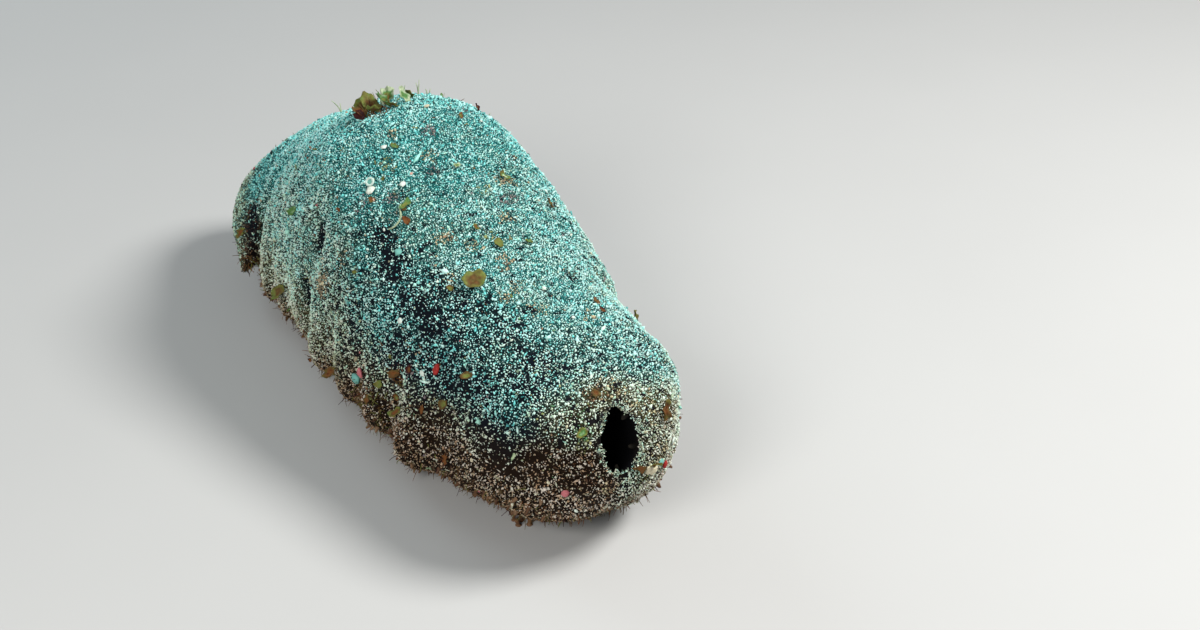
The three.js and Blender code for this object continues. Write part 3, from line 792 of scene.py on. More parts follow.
# Spots of tinted grains, as (share along, angle, radius in millimetres, tint, share of the grains).
TINTED_SPOTS = (
    (0.465, 116.6, 4.0, MAUVE, 0.8), (0.541, 90, 4.4, MAUVE, 0.6), (0.399, 75.6, 5.2, MAUVE, 0.65),
    (0.437, 71, 6.0, TAN, 0.6), (0.64, 97.2, 7.5, RUST, 0.5), (0.196, 66.8, 1.5, TAN, 0.9),
    (0.314, 81, 1.6, GREEN, 0.9), (0.64, 154.3, 1.8, GREEN, 0.8), (0.048, 100.5, 3.0, RUST, 0.6),
    (0.021, 139.9, 4.0, GREEN, 0.6), (0.039, 158.2, 2.6, RUST, 0.6), (0.503, 166.5, 6.5, OCHRE, 0.85),
    (0.36, 84, 3.2, TAN, 0.45), (0.371, 109.7, 4.2, TAN, 0.6), (0.49, 60, 3.4, RUST, 0.4),
    (0.58, 70, 3.2, MAUVE, 0.5), (0.25, 96, 3.6, TAN, 0.4), (0.17, 75, 4.5, TAN, 0.4),
    (0.13, 118, 2.8, OLIVE, 0.4), (0.6, 120, 3.2, OLIVE, 0.4), (0.7, 130, 3.6, RUST, 0.35),
    (0.8, 60, 3.4, MAUVE, 0.5), (0.72, 50, 3.0, OLIVE, 0.5), (0.85, 95, 3.6, TAN, 0.4),
    (0.3, 30, 3.6, MAUVE, 0.5), (0.55, 25, 3.4, TAN, 0.5), (0.045, 90, 8.0, TAN, 0.35),
    (0.012, 340, 7.0, TAN, 0.35), (0.02, 75, 4.0, TAN, 0.4), (0.012, 200, 4.0, RUST, 0.4),
    (0.52, 112, 3.4, OLIVE, 0.35), (0.56, 102, 3.2, TAN, 0.4), (0.62, 132, 4.0, TAN, 0.35),
    (0.93, 160, 9.0, DARK_RUST, 0.6), (0.93, 184, 9.0, RUST, 0.5), (0.56, 176, 6.0, TAN, 0.4),
    (0.47, 150, 4.5, TAN, 0.35), (0.484, 130, 6.0, MAUVE, 0.5), (0.508, 110, 4.6, OLIVE, 0.5),
    (0.032, 122, 4.0, GREEN, 0.4), (0.05, 104, 5.0, RUST, 0.4), (0.014, 165, 3.5, OLIVE, 0.4),
    (0.02, 50, 6.0, TAN, 0.4), (0.01, 250, 5.0, TAN, 0.4), (0.012, 300, 4.0, OLIVE, 0.4),
    (0.31, 175, 6.0, RUST, 0.5), (0.286, 169, 4.0, MAUVE, 0.5), (0.36, 189, 7.0, RUST, 0.45),
    (0.25, 180, 4.0, TAN, 0.4), (0.335, 101, 4.2, TAN, 0.5), (0.3, 94, 4.0, OCHRE, 0.6),
    (0.283, 96, 2.6, RUST, 0.6), (0.498, 94, 4.2, TAN, 0.65), (0.473, 96, 4.2, MAUVE, 0.7),
    (0.36, 105, 3.4, OCHRE, 0.5), (0.345, 92, 3.4, OLIVE, 0.5), (0.24, 104, 5.0, TAN, 0.4),
    (0.2, 96, 5.0, TAN, 0.4), (0.31, 118, 3.0, TAN, 0.4), (0.42, 84, 4.0, OLIVE, 0.4),
    (0.37, 82, 4.0, TAN, 0.4), (0.3, 196, 10, RUST, 0.35), (0.22, 200, 9, RUST, 0.3),
    (0.4, 200, 10, RUST, 0.3), (0.5, 128, 3.0, MAUVE, 0.4),
)


def grain_tint(points, share, rng):
    """Place of each grain on the ramp of odd tints, or 0 for a plain grain."""
    count = len(points)
    tint = np.where(rng.uniform(0, 1, count) < ODD_SHARE, rng.uniform(LEAST_TINT, 1, count), 0)
    for along, at, radius, value, part in TINTED_SPOTS:
        centre = wall(along, at) + ORIGIN
        distance = np.linalg.norm(points - centre, axis=1) + 0.35 * radius * field(points, "spot edge")
        chance = part * ease(1.6 - 1.4 * distance / radius)
        mine = rng.uniform(0, 1, count) < chance
        tint = np.where(mine, np.clip(value + rng.normal(0, 0.05, count), LEAST_TINT, 1), tint)
    under_vent = ease((0.8 - share * 10) * step_down(points[:, 2], 46, 30))
    brown = rng.uniform(0, 1, count) < BROWN_SHARE * under_vent
    return np.where(brown, rng.uniform(LEAST_TINT, MOST_BROWN, count), tint)


# Meshes.


def new_object(name, vertices, faces, smooth=False):
    """Object from vertices in metres and faces that all have the same number of corners."""
    mesh = bpy.data.meshes.new(name)
    faces = np.asarray(faces, np.int32)
    count, corners = faces.shape
    mesh.vertices.add(len(vertices))
    mesh.vertices.foreach_set("co", np.asarray(vertices, np.float32).ravel())
    mesh.loops.add(count * corners)
    mesh.loops.foreach_set("vertex_index", faces.ravel())
    mesh.polygons.add(count)
    mesh.polygons.foreach_set("loop_start", np.arange(0, count * corners, corners, dtype=np.int32))
    mesh.update(calc_edges=True)
    if smooth:
        mesh.shade_smooth()
    obj = bpy.data.objects.new(name, mesh)
    bpy.context.scene.collection.objects.link(obj)
    return obj


def add_uv(obj, coordinates):
    """UV map OFBake from one coordinate for each face corner."""
    layer = obj.data.uv_layers.new(name="OFBake")
    layer.data.foreach_set("uv", np.asarray(coordinates, np.float32).ravel())


def add_value(obj, name, values):
    """Named value on each vertex."""
    obj.data.attributes.new(name, "FLOAT", "POINT").data.foreach_set("value", np.asarray(values, np.float32))


def finish_piece(obj, material, slot, *replaced):
    obj.data.materials.append(material)
    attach(obj, "root")
    if replaced:
        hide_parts(*replaced)
    return obj


def closed_rings(start, rings, end):
    """Closed body from a first point, rings of points and a last point: vertices and three-cornered faces."""
    rings = np.asarray(rings, float)
    count, sides = rings.shape[:2]
    vertices = np.concatenate([[start], rings.reshape(-1, 3), [end]])
    j = np.arange(sides)
    k = (j + 1) % sides
    faces = [np.stack([0 * j, 1 + k, 1 + j], 1)]
    for i in range(count - 1):
        a, b = 1 + i * sides, 1 + (i + 1) * sides
        faces += [np.stack([a + j, a + k, b + k], 1), np.stack([a + j, b + k, b + j], 1)]
    top = 1 + (count - 1) * sides
    faces.append(np.stack([top + j, top + k, 0 * j + len(vertices) - 1], 1))
    return vertices, np.concatenate(faces)


def turned(profile, sides, wobble=0.0, rng=None):
    """Closed turned body along +Z from (radius, height) pairs that start and end on the axis."""
    turn = full_turn(sides)
    rings = []
    for radius, height in profile[1:-1]:
        scale = 1 if rng is None else 1 + wobble * rng.uniform(-1, 1, sides)
        x, y = radius * scale * np.cos(turn), radius * scale * np.sin(turn)
        rings.append(np.stack([x, y, 0 * turn + height], 1))
    return closed_rings((0, 0, profile[0][1]), rings, (0, 0, profile[-1][1]))


# How far a strand's rounded end stands out, as a share of its radius.
STRAND_END = 0.6


def tube(path, radii, sides):
    """Round strand along a path of points, with its own radius at each."""
    path = np.asarray(path, float)
    direction = unit(np.gradient(path, axis=0))
    frames = basis_from(direction)
    for i in range(1, len(path)):
        x = frames[i - 1, 0] - direction[i] * np.dot(frames[i - 1, 0], direction[i])
        frames[i, 0] = unit(x)
        frames[i, 1] = np.cross(direction[i], frames[i, 0])
    turn = full_turn(sides)
    c, s = np.cos(turn)[None, :, None], np.sin(turn)[None, :, None]
    spokes = c * frames[:, None, 0] + s * frames[:, None, 1]
    rings = path[:, None] + spokes * np.asarray(radii, float)[:, None, None]
    start = path[0] - direction[0] * radii[0] * STRAND_END
    end = path[-1] + direction[-1] * radii[-1] * STRAND_END
    return closed_rings(start, rings, end)


LEAF_RINGS = 6
LEAF_SIDES = 26

# Waves of a leaf's edge, as (count, height).
LEAF_WAVES = ((2, 0.12), (3, 0.1), (7, 0.07))


def leaf(length, width, rng, thickness=0.3, curl=0.12, ruffle=0.1):
    """Thin ruffled leaf round the origin in the XY plane, as a closed solid: vertices, faces, and how near
    the edge each vertex lies. A leaf as wide as it is long has the smoothest edge."""
    turn = full_turn(LEAF_SIDES)
    phase = rng.uniform(0, 2 * np.pi, 4)
    ragged = 0.5 + 1.5 * abs(1 - width / length)
    edge = sum(height * np.sin(count * turn + start) for (count, height), start in zip(LEAF_WAVES, phase))
    edge = 1 + np.minimum(ragged, 1.2) * edge
    share = (np.arange(LEAF_RINGS) + 1) / LEAF_RINGS
    r = share[:, None] * edge
    size = (length + width) / 2
    x, y = length / 2 * r * np.cos(turn), width / 2 * r * np.sin(turn)
    ruffle *= min(ragged, 1)
    z = size * (curl * r**2 + ruffle * r**2 * np.sin(5 * turn + phase[3]) + 0.02 * np.sin(9 * r + 2 * turn))
    top = np.stack([x, y, z], -1)
    bottom = top - [0, 0, 1] * (thickness * (1 - 0.5 * r[..., None]))
    rings = np.concatenate([bottom, top[::-1]])
    vertices, faces = closed_rings((0, 0, -thickness), rings, (0, 0, 0))
    nearness = np.repeat(np.concatenate([share, share[::-1]]), LEAF_SIDES)
    return vertices, faces, np.concatenate([[0], nearness, [0]])


def placed(shape, frame, origin):
    """A shape's vertices turned to a frame whose rows are its axes, and moved to a place."""
    return shape @ np.asarray(frame) + origin


def joined(parts):
    """One set of vertices and faces from several."""
    vertices, faces, start = [], [], 0
    for v, f in parts:
        vertices.append(v)
        faces.append(np.asarray(f) + start)
        start += len(v)
    return np.concatenate(vertices), np.concatenate(faces)


def joined_piece(name, parts, tints, material, slot, replaced=(), smooth=True):
    """One piece from several bodies in millimetres, each with its tint or one for each of its vertices."""
    vertices, faces = joined(parts)
    obj = new_object(name, vertices * MM, faces, smooth=smooth)
    values = [np.broadcast_to(tint, len(part[0])) for part, tint in zip(parts, tints)]
    add_value(obj, "tint", np.concatenate(values))
    return finish_piece(obj, material, slot, *replaced)


def basis_from(axis, twist=None):
    """Rows are two directions across an axis, and the axis."""
    axis = unit(np.asarray(axis, float))
    helper = np.where(np.abs(axis[..., 2:3]) < 0.9, np.array([0, 0, 1.0]), np.array([1.0, 0, 0]))
    x = unit(np.cross(helper, axis))
    y = np.cross(axis, x)
    if twist is not None:
        c, s = np.cos(twist)[..., None], np.sin(twist)[..., None]
        x, y = c * x + s * y, c * y - s * x
    return np.stack([x, y, axis], -2)


THINNING_ROUNDS = 8


def spread_out(points, radius, rng):
    """Indices of points that keep at least radius between them, chosen in random order and at most one to a
    small cube of that size."""
    rank = rng.permutation(len(points))
    cell = np.floor(points / radius).astype(np.int64)
    cell -= cell.min(0) - 1
    size = cell.max(0) + 2
    key = (cell[:, 0] * size[1] + cell[:, 1]) * size[2] + cell[:, 2]
    order = np.lexsort((rank, key))
    chosen = order[np.unique(key[order], return_index=True)[1]]
    keys, chosen_rank, place = key[chosen], rank[chosen], points[chosen]
    pairs = []
    steps = [(dx * size[1] + dy) * size[2] + dz for dx, dy, dz in itertools.product((-1, 0, 1), repeat=3)]
    for step in steps:
        if step <= 0:
            continue
        j = np.searchsorted(keys, keys + step)
        j = np.minimum(j, len(keys) - 1)
        i = np.nonzero(keys[j] == keys + step)[0]
        near = np.linalg.norm(place[i] - place[j[i]], axis=1) < radius
        pairs.append(np.stack([i[near], j[i][near]], 1))
    pairs = np.concatenate(pairs)
    swap = chosen_rank[pairs[:, 0]] > chosen_rank[pairs[:, 1]]
    pairs[swap] = pairs[swap][:, ::-1]
    alive, accepted = np.ones(len(chosen), bool), np.zeros(len(chosen), bool)
    for _ in range(THINNING_ROUNDS):
        live = alive[pairs[:, 0]] & alive[pairs[:, 1]]
        beaten = np.zeros(len(chosen), bool)
        beaten[pairs[live, 1]] = True
        accepted |= alive & ~beaten
        alive[pairs[accepted[pairs[:, 0]], 1]] = False
    return chosen[accepted & alive]


# Materials.


def shader_nodes(name):
    """New material with its node tree and its principled shader."""
    material = bpy.data.materials.new(name)
    material.use_nodes = True
    tree = material.node_tree
    return material, tree, tree.nodes["Principled BSDF"]


def feed(tree, socket, value):
    """Links a socket to another node's output, or sets it where the value is a plain one."""
    if isinstance(value, bpy.types.NodeSocket):
        tree.links.new(value, socket)
    else:
        socket.default_value = value


def add_node(tree, kind, inputs=(), **settings_):
    """Adds a node with its settings, and links or sets its inputs by name."""
    node = tree.nodes.new(kind)
    for key, value in settings_.items():
        setattr(node, key, value)
    for key, value in dict(inputs).items():
        feed(tree, node.inputs[key], value)
    return node


def colour(value):
    return (*tuple(value)[:3], 1.0)


def scaled(tint, gain):
    return tuple(gain * x for x in tint)


def blend_colours(a, b, share):
    return tuple(x * (1 - share) + y * share for x, y in zip(a, b))


def ramp(tree, factor, stops):
    """Colour ramp from (position, colour) stops."""
    node = add_node(tree, "ShaderNodeValToRGB", {"Fac": factor})
    elements = node.color_ramp.elements
    while len(elements) < len(stops):
        elements.new(0.5)
    for element, (position, value) in zip(elements, stops):
        element.position = position
        element.color = colour(value)
    return node.outputs["Color"]


def grey_ramp(tree, factor, *stops):
    """Ramp from (position, level of grey) stops."""
    return ramp(tree, factor, [(position, (level,) * 3) for position, level in stops])


# Sockets of the mix node's two colours and its result, which share their names with other kinds.
MIX_A, MIX_B, MIX_RESULT = 6, 7, 2


def mix_colour(tree, factor, a, b, blend="MIX"):
    node = add_node(tree, "ShaderNodeMix", data_type="RGBA", blend_type=blend)
    for socket, value in ((node.inputs["Factor"], factor), (node.inputs[MIX_A], a), (node.inputs[MIX_B], b)):
        feed(tree, socket, value)
    return node.outputs[MIX_RESULT]


def math_node(tree, operation, a, b, third=0.0, clamp=False):
    node = add_node(tree, "ShaderNodeMath", operation=operation, use_clamp=clamp)
    for socket, value in zip(node.inputs, (a, b, third)):
        feed(tree, socket, value)
    return node.outputs[0]


def run_between(tree, value, low, high, start, end):
    """A value's run from low to high, turned into one from start to end and held there beyond it."""
    return add_node(tree, "ShaderNodeMapRange", {
        "Value": value, "From Min": low, "From Max": high, "To Min": start, "To Max": end,
    }).outputs["Result"]


def value_of(tree, name):
    return add_node(tree, "ShaderNodeAttribute", attribute_name=name).outputs["Fac"]


def object_noise(tree, scale, detail=3.0, roughness=0.55):
    where = add_node(tree, "ShaderNodeTexCoord").outputs["Object"]
    node = add_node(
        tree, "ShaderNodeTexNoise",
        {"Vector": where, "Scale": scale, "Detail": detail, "Roughness": roughness},
    )
    return node.outputs["Fac"]


def new_group(name, inputs, outputs):
    """Empty node group with named sockets, as (group, input node, output node)."""
    group = bpy.data.node_groups.new(name, "ShaderNodeTree")
    for label, kind, default in inputs:
        socket = group.interface.new_socket(label, in_out="INPUT", socket_type=kind)
        socket.default_value = default
    for label, kind in outputs:
        group.interface.new_socket(label, in_out="OUTPUT", socket_type=kind)
    return group, group.nodes.new("NodeGroupInput"), group.nodes.new("NodeGroupOutput")


def surface(tree, shader, tint, rough, specular, height=None, strength=0.5, depth=0.0002):
    """Gives a shader its colour, roughness and shine, and bumps where there is a height."""
    tree.links.new(tint, shader.inputs["Base Color"])
    tree.links.new(rough, shader.inputs["Roughness"])
    shader.inputs["Specular IOR Level"].default_value = specular
    if height is not None:
        bump = add_node(tree, "ShaderNodeBump", {"Strength": strength, "Distance": depth, "Height": height})
        tree.links.new(bump.outputs["Normal"], shader.inputs["Normal"])


def mottle_group():
    """Mottling of soft, limy and worn surfaces: clouds, a shade for the colour, and roughness."""
    name = "Mottle"
    if name in bpy.data.node_groups:
        return bpy.data.node_groups[name]
    group, source, result = new_group(
        name,
        (
            ("Scale", "NodeSocketFloat", 1300.0), ("Depth", "NodeSocketFloat", 0.35),
            ("Roughness", "NodeSocketFloat", 0.6), ("Spread", "NodeSocketFloat", 0.1),
        ),
        (("Clouds", "NodeSocketFloat"), ("Shade", "NodeSocketFloat"), ("Roughness", "NodeSocketFloat")),
    )
    rough, spread = source.outputs["Roughness"], source.outputs["Spread"]
    clouds = object_noise(group, source.outputs["Scale"], 4.0, 0.6)
    darkest = math_node(group, "SUBTRACT", 1.0, source.outputs["Depth"])
    smoothest, roughest = math_node(group, "SUBTRACT", rough, spread), math_node(group, "ADD", rough, spread)
    group.links.new(clouds, result.inputs["Clouds"])
    group.links.new(run_between(group, clouds, 0.3, 0.65, darkest, 1.0), result.inputs["Shade"])
    group.links.new(run_between(group, clouds, 0.3, 0.7, smoothest, roughest), result.inputs["Roughness"])
    return group


PALE_GRAIN = (0.92, 0.97, 0.94)

# Dark grains among the cool, the neutral and the warm sand.
DARK_GRAINS = ((0.008, 0.14, 0.15), (0.1, 0.09, 0.045), (0.07, 0.03, 0.012))

# Tints of the odd grains, along the ramp that RUST to GREEN are places on.
ODD_TINTS = (
    (0.0, (0.07, 0.03, 0.02)), (0.1, (0.19, 0.09, 0.045)), (0.3, (0.56, 0.48, 0.31)),
    (0.5, (0.26, 0.3, 0.11)), (0.7, (0.27, 0.22, 0.23)), (0.82, (0.2, 0.16, 0.17)),
    (1.0, (0.12, 0.3, 0.14)),
)


def sand_colour_group():
    """Colour of sand: dark to pale grains, painted blue-green water light via grey to warm, with a few odd
    ones.
    """
    name = "Sand colour"
    if name in bpy.data.node_groups:
        return bpy.data.node_groups[name]
    coat = settings().coat
    group, source, result = new_group(
        name,
        (
            ("Shade", "NodeSocketFloat", 0.5), ("Warmth", "NodeSocketFloat", 0.5),
            ("Tint", "NodeSocketFloat", 0.0),
        ),
        (("Color", "NodeSocketColor"),),
    )
    shade, warmth, tint = source.outputs["Shade"], source.outputs["Warmth"], source.outputs["Tint"]
    runs = []
    for palest, dark in zip((coat.cool, coat.neutral, coat.warm), DARK_GRAINS):
        palest = tuple(palest)
        runs.append(ramp(group, shade, (
            (0.0, scaled(dark, 0.2)), (0.25, dark), (0.48, blend_colours(dark, palest, 0.5)),
            (0.68, palest), (1.0, blend_colours(palest, PALE_GRAIN, 0.45)),
        )))
    low = math_node(group, "MULTIPLY", warmth, 2.0, clamp=True)
    high = math_node(group, "MULTIPLY_ADD", warmth, 2.0, third=-1.0, clamp=True)
    plain = mix_colour(group, high, mix_colour(group, low, runs[0], runs[1]), runs[2])
    dimmed = grey_ramp(group, shade, (0.0, 0.35), (0.6, 0.8), (1.0, 1.25))
    odd = mix_colour(group, 1.0, ramp(group, tint, ODD_TINTS), dimmed, "MULTIPLY")
    is_odd = math_node(group, "GREATER_THAN", tint, 0.001)
    group.links.new(mix_colour(group, is_odd, plain, odd), result.inputs["Color"])
    return group


GRAIN_SPECULAR = 0.15
SKIN_SPECULAR = 0.05


def sand_grain_material():
    name = "Sand grains"
    if name in bpy.data.materials:
        return bpy.data.materials[name]
    material, tree, shader = shader_nodes(name)
    sand = add_node(tree, "ShaderNodeGroup", {
        "Shade": value_of(tree, "grain_shade"), "Warmth": value_of(tree, "grain_warmth"),
        "Tint": value_of(tree, "grain_tint"),
    }, node_tree=sand_colour_group())
    flecks = object_noise(tree, 2600.0, 2.0)
    fleck_shade = grey_ramp(tree, flecks, (0.35, 0.5), (0.65, 1.0))
    speckled = mix_colour(tree, 0.3, sand.outputs["Color"], fleck_shade, "MULTIPLY")
    surface(tree, shader, speckled, grey_ramp(tree, flecks, (0.3, 0.45), (0.7, 0.75)), GRAIN_SPECULAR)
    return material


# Painted shade of the vent's chamber and the mouth's recess.
PAINTED_HOLLOW_SHADE = (0.0025, 0.0025, 0.003)


def skin_material():
    """Black to brown skin, with silt where the sand is close, a brown sole and painted shade in the hollows.
    """
    body = settings().body
    material, tree, shader = shader_nodes("Skin")
    cover, warmth = value_of(tree, "sand_cover"), value_of(tree, "sand_warmth")
    clouds, fine = object_noise(tree, 90.0, 5.0), object_noise(tree, 1100.0, 4.0, 0.65)
    low = grey_ramp(tree, warmth, (0.35, 0), (0.85, 1))
    # Brown skin low on the flanks, its colour darkened as painted shade under the body.
    brown = mix_colour(tree, clouds, colour(body.low_skin), colour(scaled(body.low_skin, 0.4)))
    blue_black = mix_colour(tree, clouds, colour(body.bare_skin), colour(scaled(body.bare_skin, 1.8)))
    bare = mix_colour(tree, low, blue_black, brown)
    silt_tint = ramp(tree, warmth, ((0.0, body.silt), (0.5, body.grey_silt), (1.0, body.low_skin)))
    specks = grey_ramp(tree, fine, (0.36, 0), (0.62, 1))
    close = grey_ramp(tree, cover, (0.5, 0), (0.9, 1))
    dense = math_node(tree, "MULTIPLY", value_of(tree, "silt"), close)
    dusty = mix_colour(tree, math_node(tree, "MULTIPLY", dense, specks), bare, silt_tint)
    feet = mix_colour(tree, fine, colour(body.feet), colour(scaled(body.feet, 0.35)))
    soled = mix_colour(tree, value_of(tree, "sole"), dusty, feet)
    # Painted shade: the vent's chamber and the mouth's recess darken towards black from their rims inward.
    dark = mix_colour(tree, value_of(tree, "inside"), soled, colour(PAINTED_HOLLOW_SHADE))
    rough = grey_ramp(tree, clouds, (0.3, 0.6), (0.7, 0.85))
    height = math_node(tree, "ADD", fine, math_node(tree, "MULTIPLY", clouds, 0.6))
    surface(tree, shader, dark, rough, SKIN_SPECULAR, height, 0.6, 0.0004)
    return material


def place_mottle(tree, **values):
    """The mottling in a material, with its own values: its clouds, shade and roughness."""
    inputs = {name.capitalize(): value for name, value in values.items()}
    return add_node(tree, "ShaderNodeGroup", inputs, node_tree=mottle_group()).outputs


def tinted_material(name, stops, roughness, scale, depth=0.35, specular=0.2):
    """Weed, seashell or limy tissue: its tint runs along a ramp, and clouds mottle and roughen it."""
    if name in bpy.data.materials:
        return bpy.data.materials[name]
    material, tree, shader = shader_nodes(name)
    mottle = place_mottle(tree, scale=scale, depth=depth, roughness=roughness)
    shift = math_node(tree, "MULTIPLY_ADD", mottle["Clouds"], 0.16, third=-0.08)
    base = ramp(tree, math_node(tree, "ADD", value_of(tree, "tint"), shift), stops)
    tint = mix_colour(tree, 1.0, base, mottle["Shade"], "MULTIPLY")
    surface(tree, shader, tint, mottle["Roughness"], specular, mottle["Clouds"])
    return material


MOUTH_TINT = (0.035, 0.02, 0.014)
MOUTH_SPECULAR = 0.4


def mouth_material():
    """Damp dark membrane, mottled, with fine bumps."""
    material, tree, shader = shader_nodes("Mouth")
    mottle = place_mottle(tree, scale=700.0, roughness=0.5, spread=0.12)
    dark, bright = scaled(MOUTH_TINT, 0.3), scaled(MOUTH_TINT, 1.7)
    tint = ramp(tree, mottle["Clouds"], ((0.3, dark), (0.6, MOUTH_TINT), (0.85, bright)))
    surface(tree, shader, tint, mottle["Roughness"], MOUTH_SPECULAR, mottle["Clouds"])
    return material


def foot_material():
    return tinted_material("Tube feet", (
        (0.0, (0.26, 0.17, 0.1)), (0.4, (0.17, 0.085, 0.04)), (1.0, (0.06, 0.026, 0.014)),
    ), 0.55, 1300.0)


def tooth_material():
    return tinted_material("Vent teeth", (
        (0.0, (0.005, 0.004, 0.003)), (0.6, (0.008, 0.007, 0.006)), (1.0, (0.024, 0.021, 0.016)),
    ), 0.7, 1500.0, specular=0.05)


def dark_skin_material():
    return tinted_material(
        "Dark skin", ((0.0, (0.006, 0.008, 0.01)), (1.0, (0.03, 0.028, 0.022))), 0.75, 1300.0,
    )


def tentacle_material():
    return tinted_material(
        "Tentacles", ((0.0, (0.1, 0.065, 0.035)), (1.0, (0.03, 0.018, 0.012))), 0.5, 1300.0,
    )


# Places on the weed ramp.
WEED_RED, WEED_RUST, WEED_BROWN, WEED_OLIVE, WEED_GREEN, WEED_PALE = 0.0, 0.2, 0.4, 0.6, 0.8, 1.0


def weed_material():
    return tinted_material("Weed", (
        (WEED_RED, (0.035, 0.004, 0.004)), (0.1, (0.05, 0.008, 0.005)), (WEED_RUST, (0.17, 0.06, 0.012)),
        (WEED_BROWN, (0.11, 0.065, 0.018)),
        (WEED_OLIVE, (0.16, 0.17, 0.035)), (WEED_GREEN, (0.07, 0.2, 0.05)), (WEED_PALE, (0.42, 0.5, 0.32)),
    ), 0.7, 900.0)


# Places on the ramp of seashell and stone.
CHIP_RED, CHIP_PINK, CHIP_CREAM, CHIP_WHITE, CHIP_TEAL = 0.0, 0.25, 0.5, 0.75, 1.0


def seashell_material():
    return tinted_material("Seashell", (
        (CHIP_RED, (0.34, 0.02, 0.015)), (CHIP_PINK, (0.5, 0.14, 0.16)), (CHIP_CREAM, (0.66, 0.6, 0.42)),
        (CHIP_WHITE, (0.72, 0.8, 0.72)), (CHIP_TEAL, (0.16, 0.44, 0.38)),
    ), 0.6, 1500.0, 0.3)


# Pieces.

GRID = {}


def skin_grid():
    """The skin's rings, worked out once."""
    if "skin" not in GRID:
        body = settings().body
        GRID["skin"] = SkinGrid(
            body.rings, body.segments, body.coat_depth / MM, body.lump_height / MM, body.wrinkle_height / MM,
        )
    return GRID["skin"]


def unwrap(ring, turn, first, last):
    """Place on the skin's unwrap of the stretch between two rings, where turn runs from 0 to 1 round it."""
    u = UV_MARGIN + (1 - 2 * UV_MARGIN) * (ring - first) / (last - first)
    return np.stack([u, UV_MARGIN + (1 - 2 * UV_MARGIN) * turn], -1)


def build_skin():
    grid = skin_grid()
    rings, segments = grid.points.shape[:2]
    i, j = np.meshgrid(np.arange(rings - 1), np.arange(segments), indexing="ij")
    k = (j + 1) % segments
    faces = np.stack([i * segments + j, (i + 1) * segments + j, (i + 1) * segments + k, i * segments + k], -1)
    obj = new_object("skin", grid.points.reshape(-1, 3) * MM, faces.reshape(-1, 4), smooth=True)
    corner_ring = np.stack([i, i + 1, i + 1, i], -1).reshape(-1)
    corner_turn = np.stack([j, j, j + 1, j + 1], -1).reshape(-1) / segments
    add_uv(obj, unwrap(corner_ring, corner_turn, 0, rings - 1))
    for name, measure in (("sand_cover", sand_cover), ("sand_warmth", sand_warmth), ("silt", silt_depth)):
        add_value(obj, name, measure(grid.share, grid.around, grid.points).reshape(-1))
    sole = 1 - ease((grid.points[..., 2] - FOOT_HEIGHT - 0.4) / 4)
    add_value(obj, "sole", sole.reshape(-1))
    add_value(obj, "inside", np.repeat(ease(grid.inside * 5), segments))
    close_ends(obj.data, (range(segments), range(rings * segments - 1, (rings - 1) * segments - 1, -1)))
    return finish_piece(obj, skin_material(), "body_wall", *FLESH)


def close_ends(mesh, loops):
    """Closes the tiny holes that the last rings of the two hollows leave."""
    edit = bmesh.new()
    edit.from_mesh(mesh)
    edit.verts.ensure_lookup_table()
    for loop in loops:
        edit.faces.new([edit.verts[i] for i in loop]).smooth = True
    edit.to_mesh(mesh)
    edit.free()


OCTAHEDRON = np.array([(1, 0, 0), (-1, 0, 0), (0, 1, 0), (0, -1, 0), (0, 0, 1), (0, 0, -1)], float)
OCTAHEDRON_FACES = np.array(
    [(0, 2, 4), (2, 1, 4), (1, 3, 4), (3, 0, 4), (2, 0, 5), (1, 2, 5), (3, 1, 5), (0, 3, 5)]
)
UV_MARGIN = 0.01
PATCH = 0.0015
PIECE_TRIANGLES = 200_000

# Stretches of the coat, as name, first and last share along the body.
COAT_STRETCHES = (
    ("anal_end", -0.01, 0.17), ("trunk_hind", 0.17, 0.38), ("trunk_middle", 0.38, 0.6),
    ("trunk_fore", 0.6, 0.81), ("oral_end", 0.81, 1.01),
)
RIGHT_START, LEFT_START = 0.75, 0.25

# Grains: how far their corners reach and stray, their lean, sizes and stretch, and the run of their shades.
CORNERS = len(OCTAHEDRON)
CORNER_REACH = (0.72, 1.28)
CORNER_STRAY = 0.22
LEAN_SPREAD = 0.45
FLAT_LEAN = 0.6
SIZE_SPREAD = 0.34
SIZE_RANGE = (0.5, 2.1)
COARSE_SHARE = 0.02
COARSE_GAIN = (1.4, 2.1)
SLIVER_FROM = 1.6
SLIVER_STRETCH = (SLIVER_FROM, 2.8)
STONE_STRETCH = (0.8, 1.5)
BEDDING = (0.1, 0.7)
SHADE_RUN = (1.6, 0.9)
FINE_DARKENING = 0.1
WARMTH_SPREAD = 0.125

# How many places are tried for each one that has room, and how far above the floor the sand starts.
TRIES = 5
SAND_LIFT = 1.2


def scatter(spacing, rng):
    """Places spread evenly over the skin: ring, segment, point, normal, share and angle of each."""
    grid = skin_grid()
    p = grid.points
    across = np.linalg.norm(np.roll(p, -1, 1) - p, axis=-1)[:-1]
    along = np.linalg.norm(p[1:] - p[:-1], axis=-1)
    area = across * along
    area[: grid.first - 3] = 0
    area[grid.last + 1 :] = 0
    area *= p[:-1, :, 2] > FOOT_HEIGHT + SAND_LIFT
    cumulative = np.cumsum(area.ravel())
    count = int(cumulative[-1] / spacing**2 * TRIES)
    cell = np.searchsorted(cumulative, rng.uniform(0, cumulative[-1], count))
    ring = cell // p.shape[1] + rng.uniform(0, 1, count)
    segment = cell % p.shape[1] + rng.uniform(0, 1, count)
    found = grid.at(ring, segment)
    kept = spread_out(found[0], spacing, rng)
    return [values[kept] for values in (ring, segment, *found)]


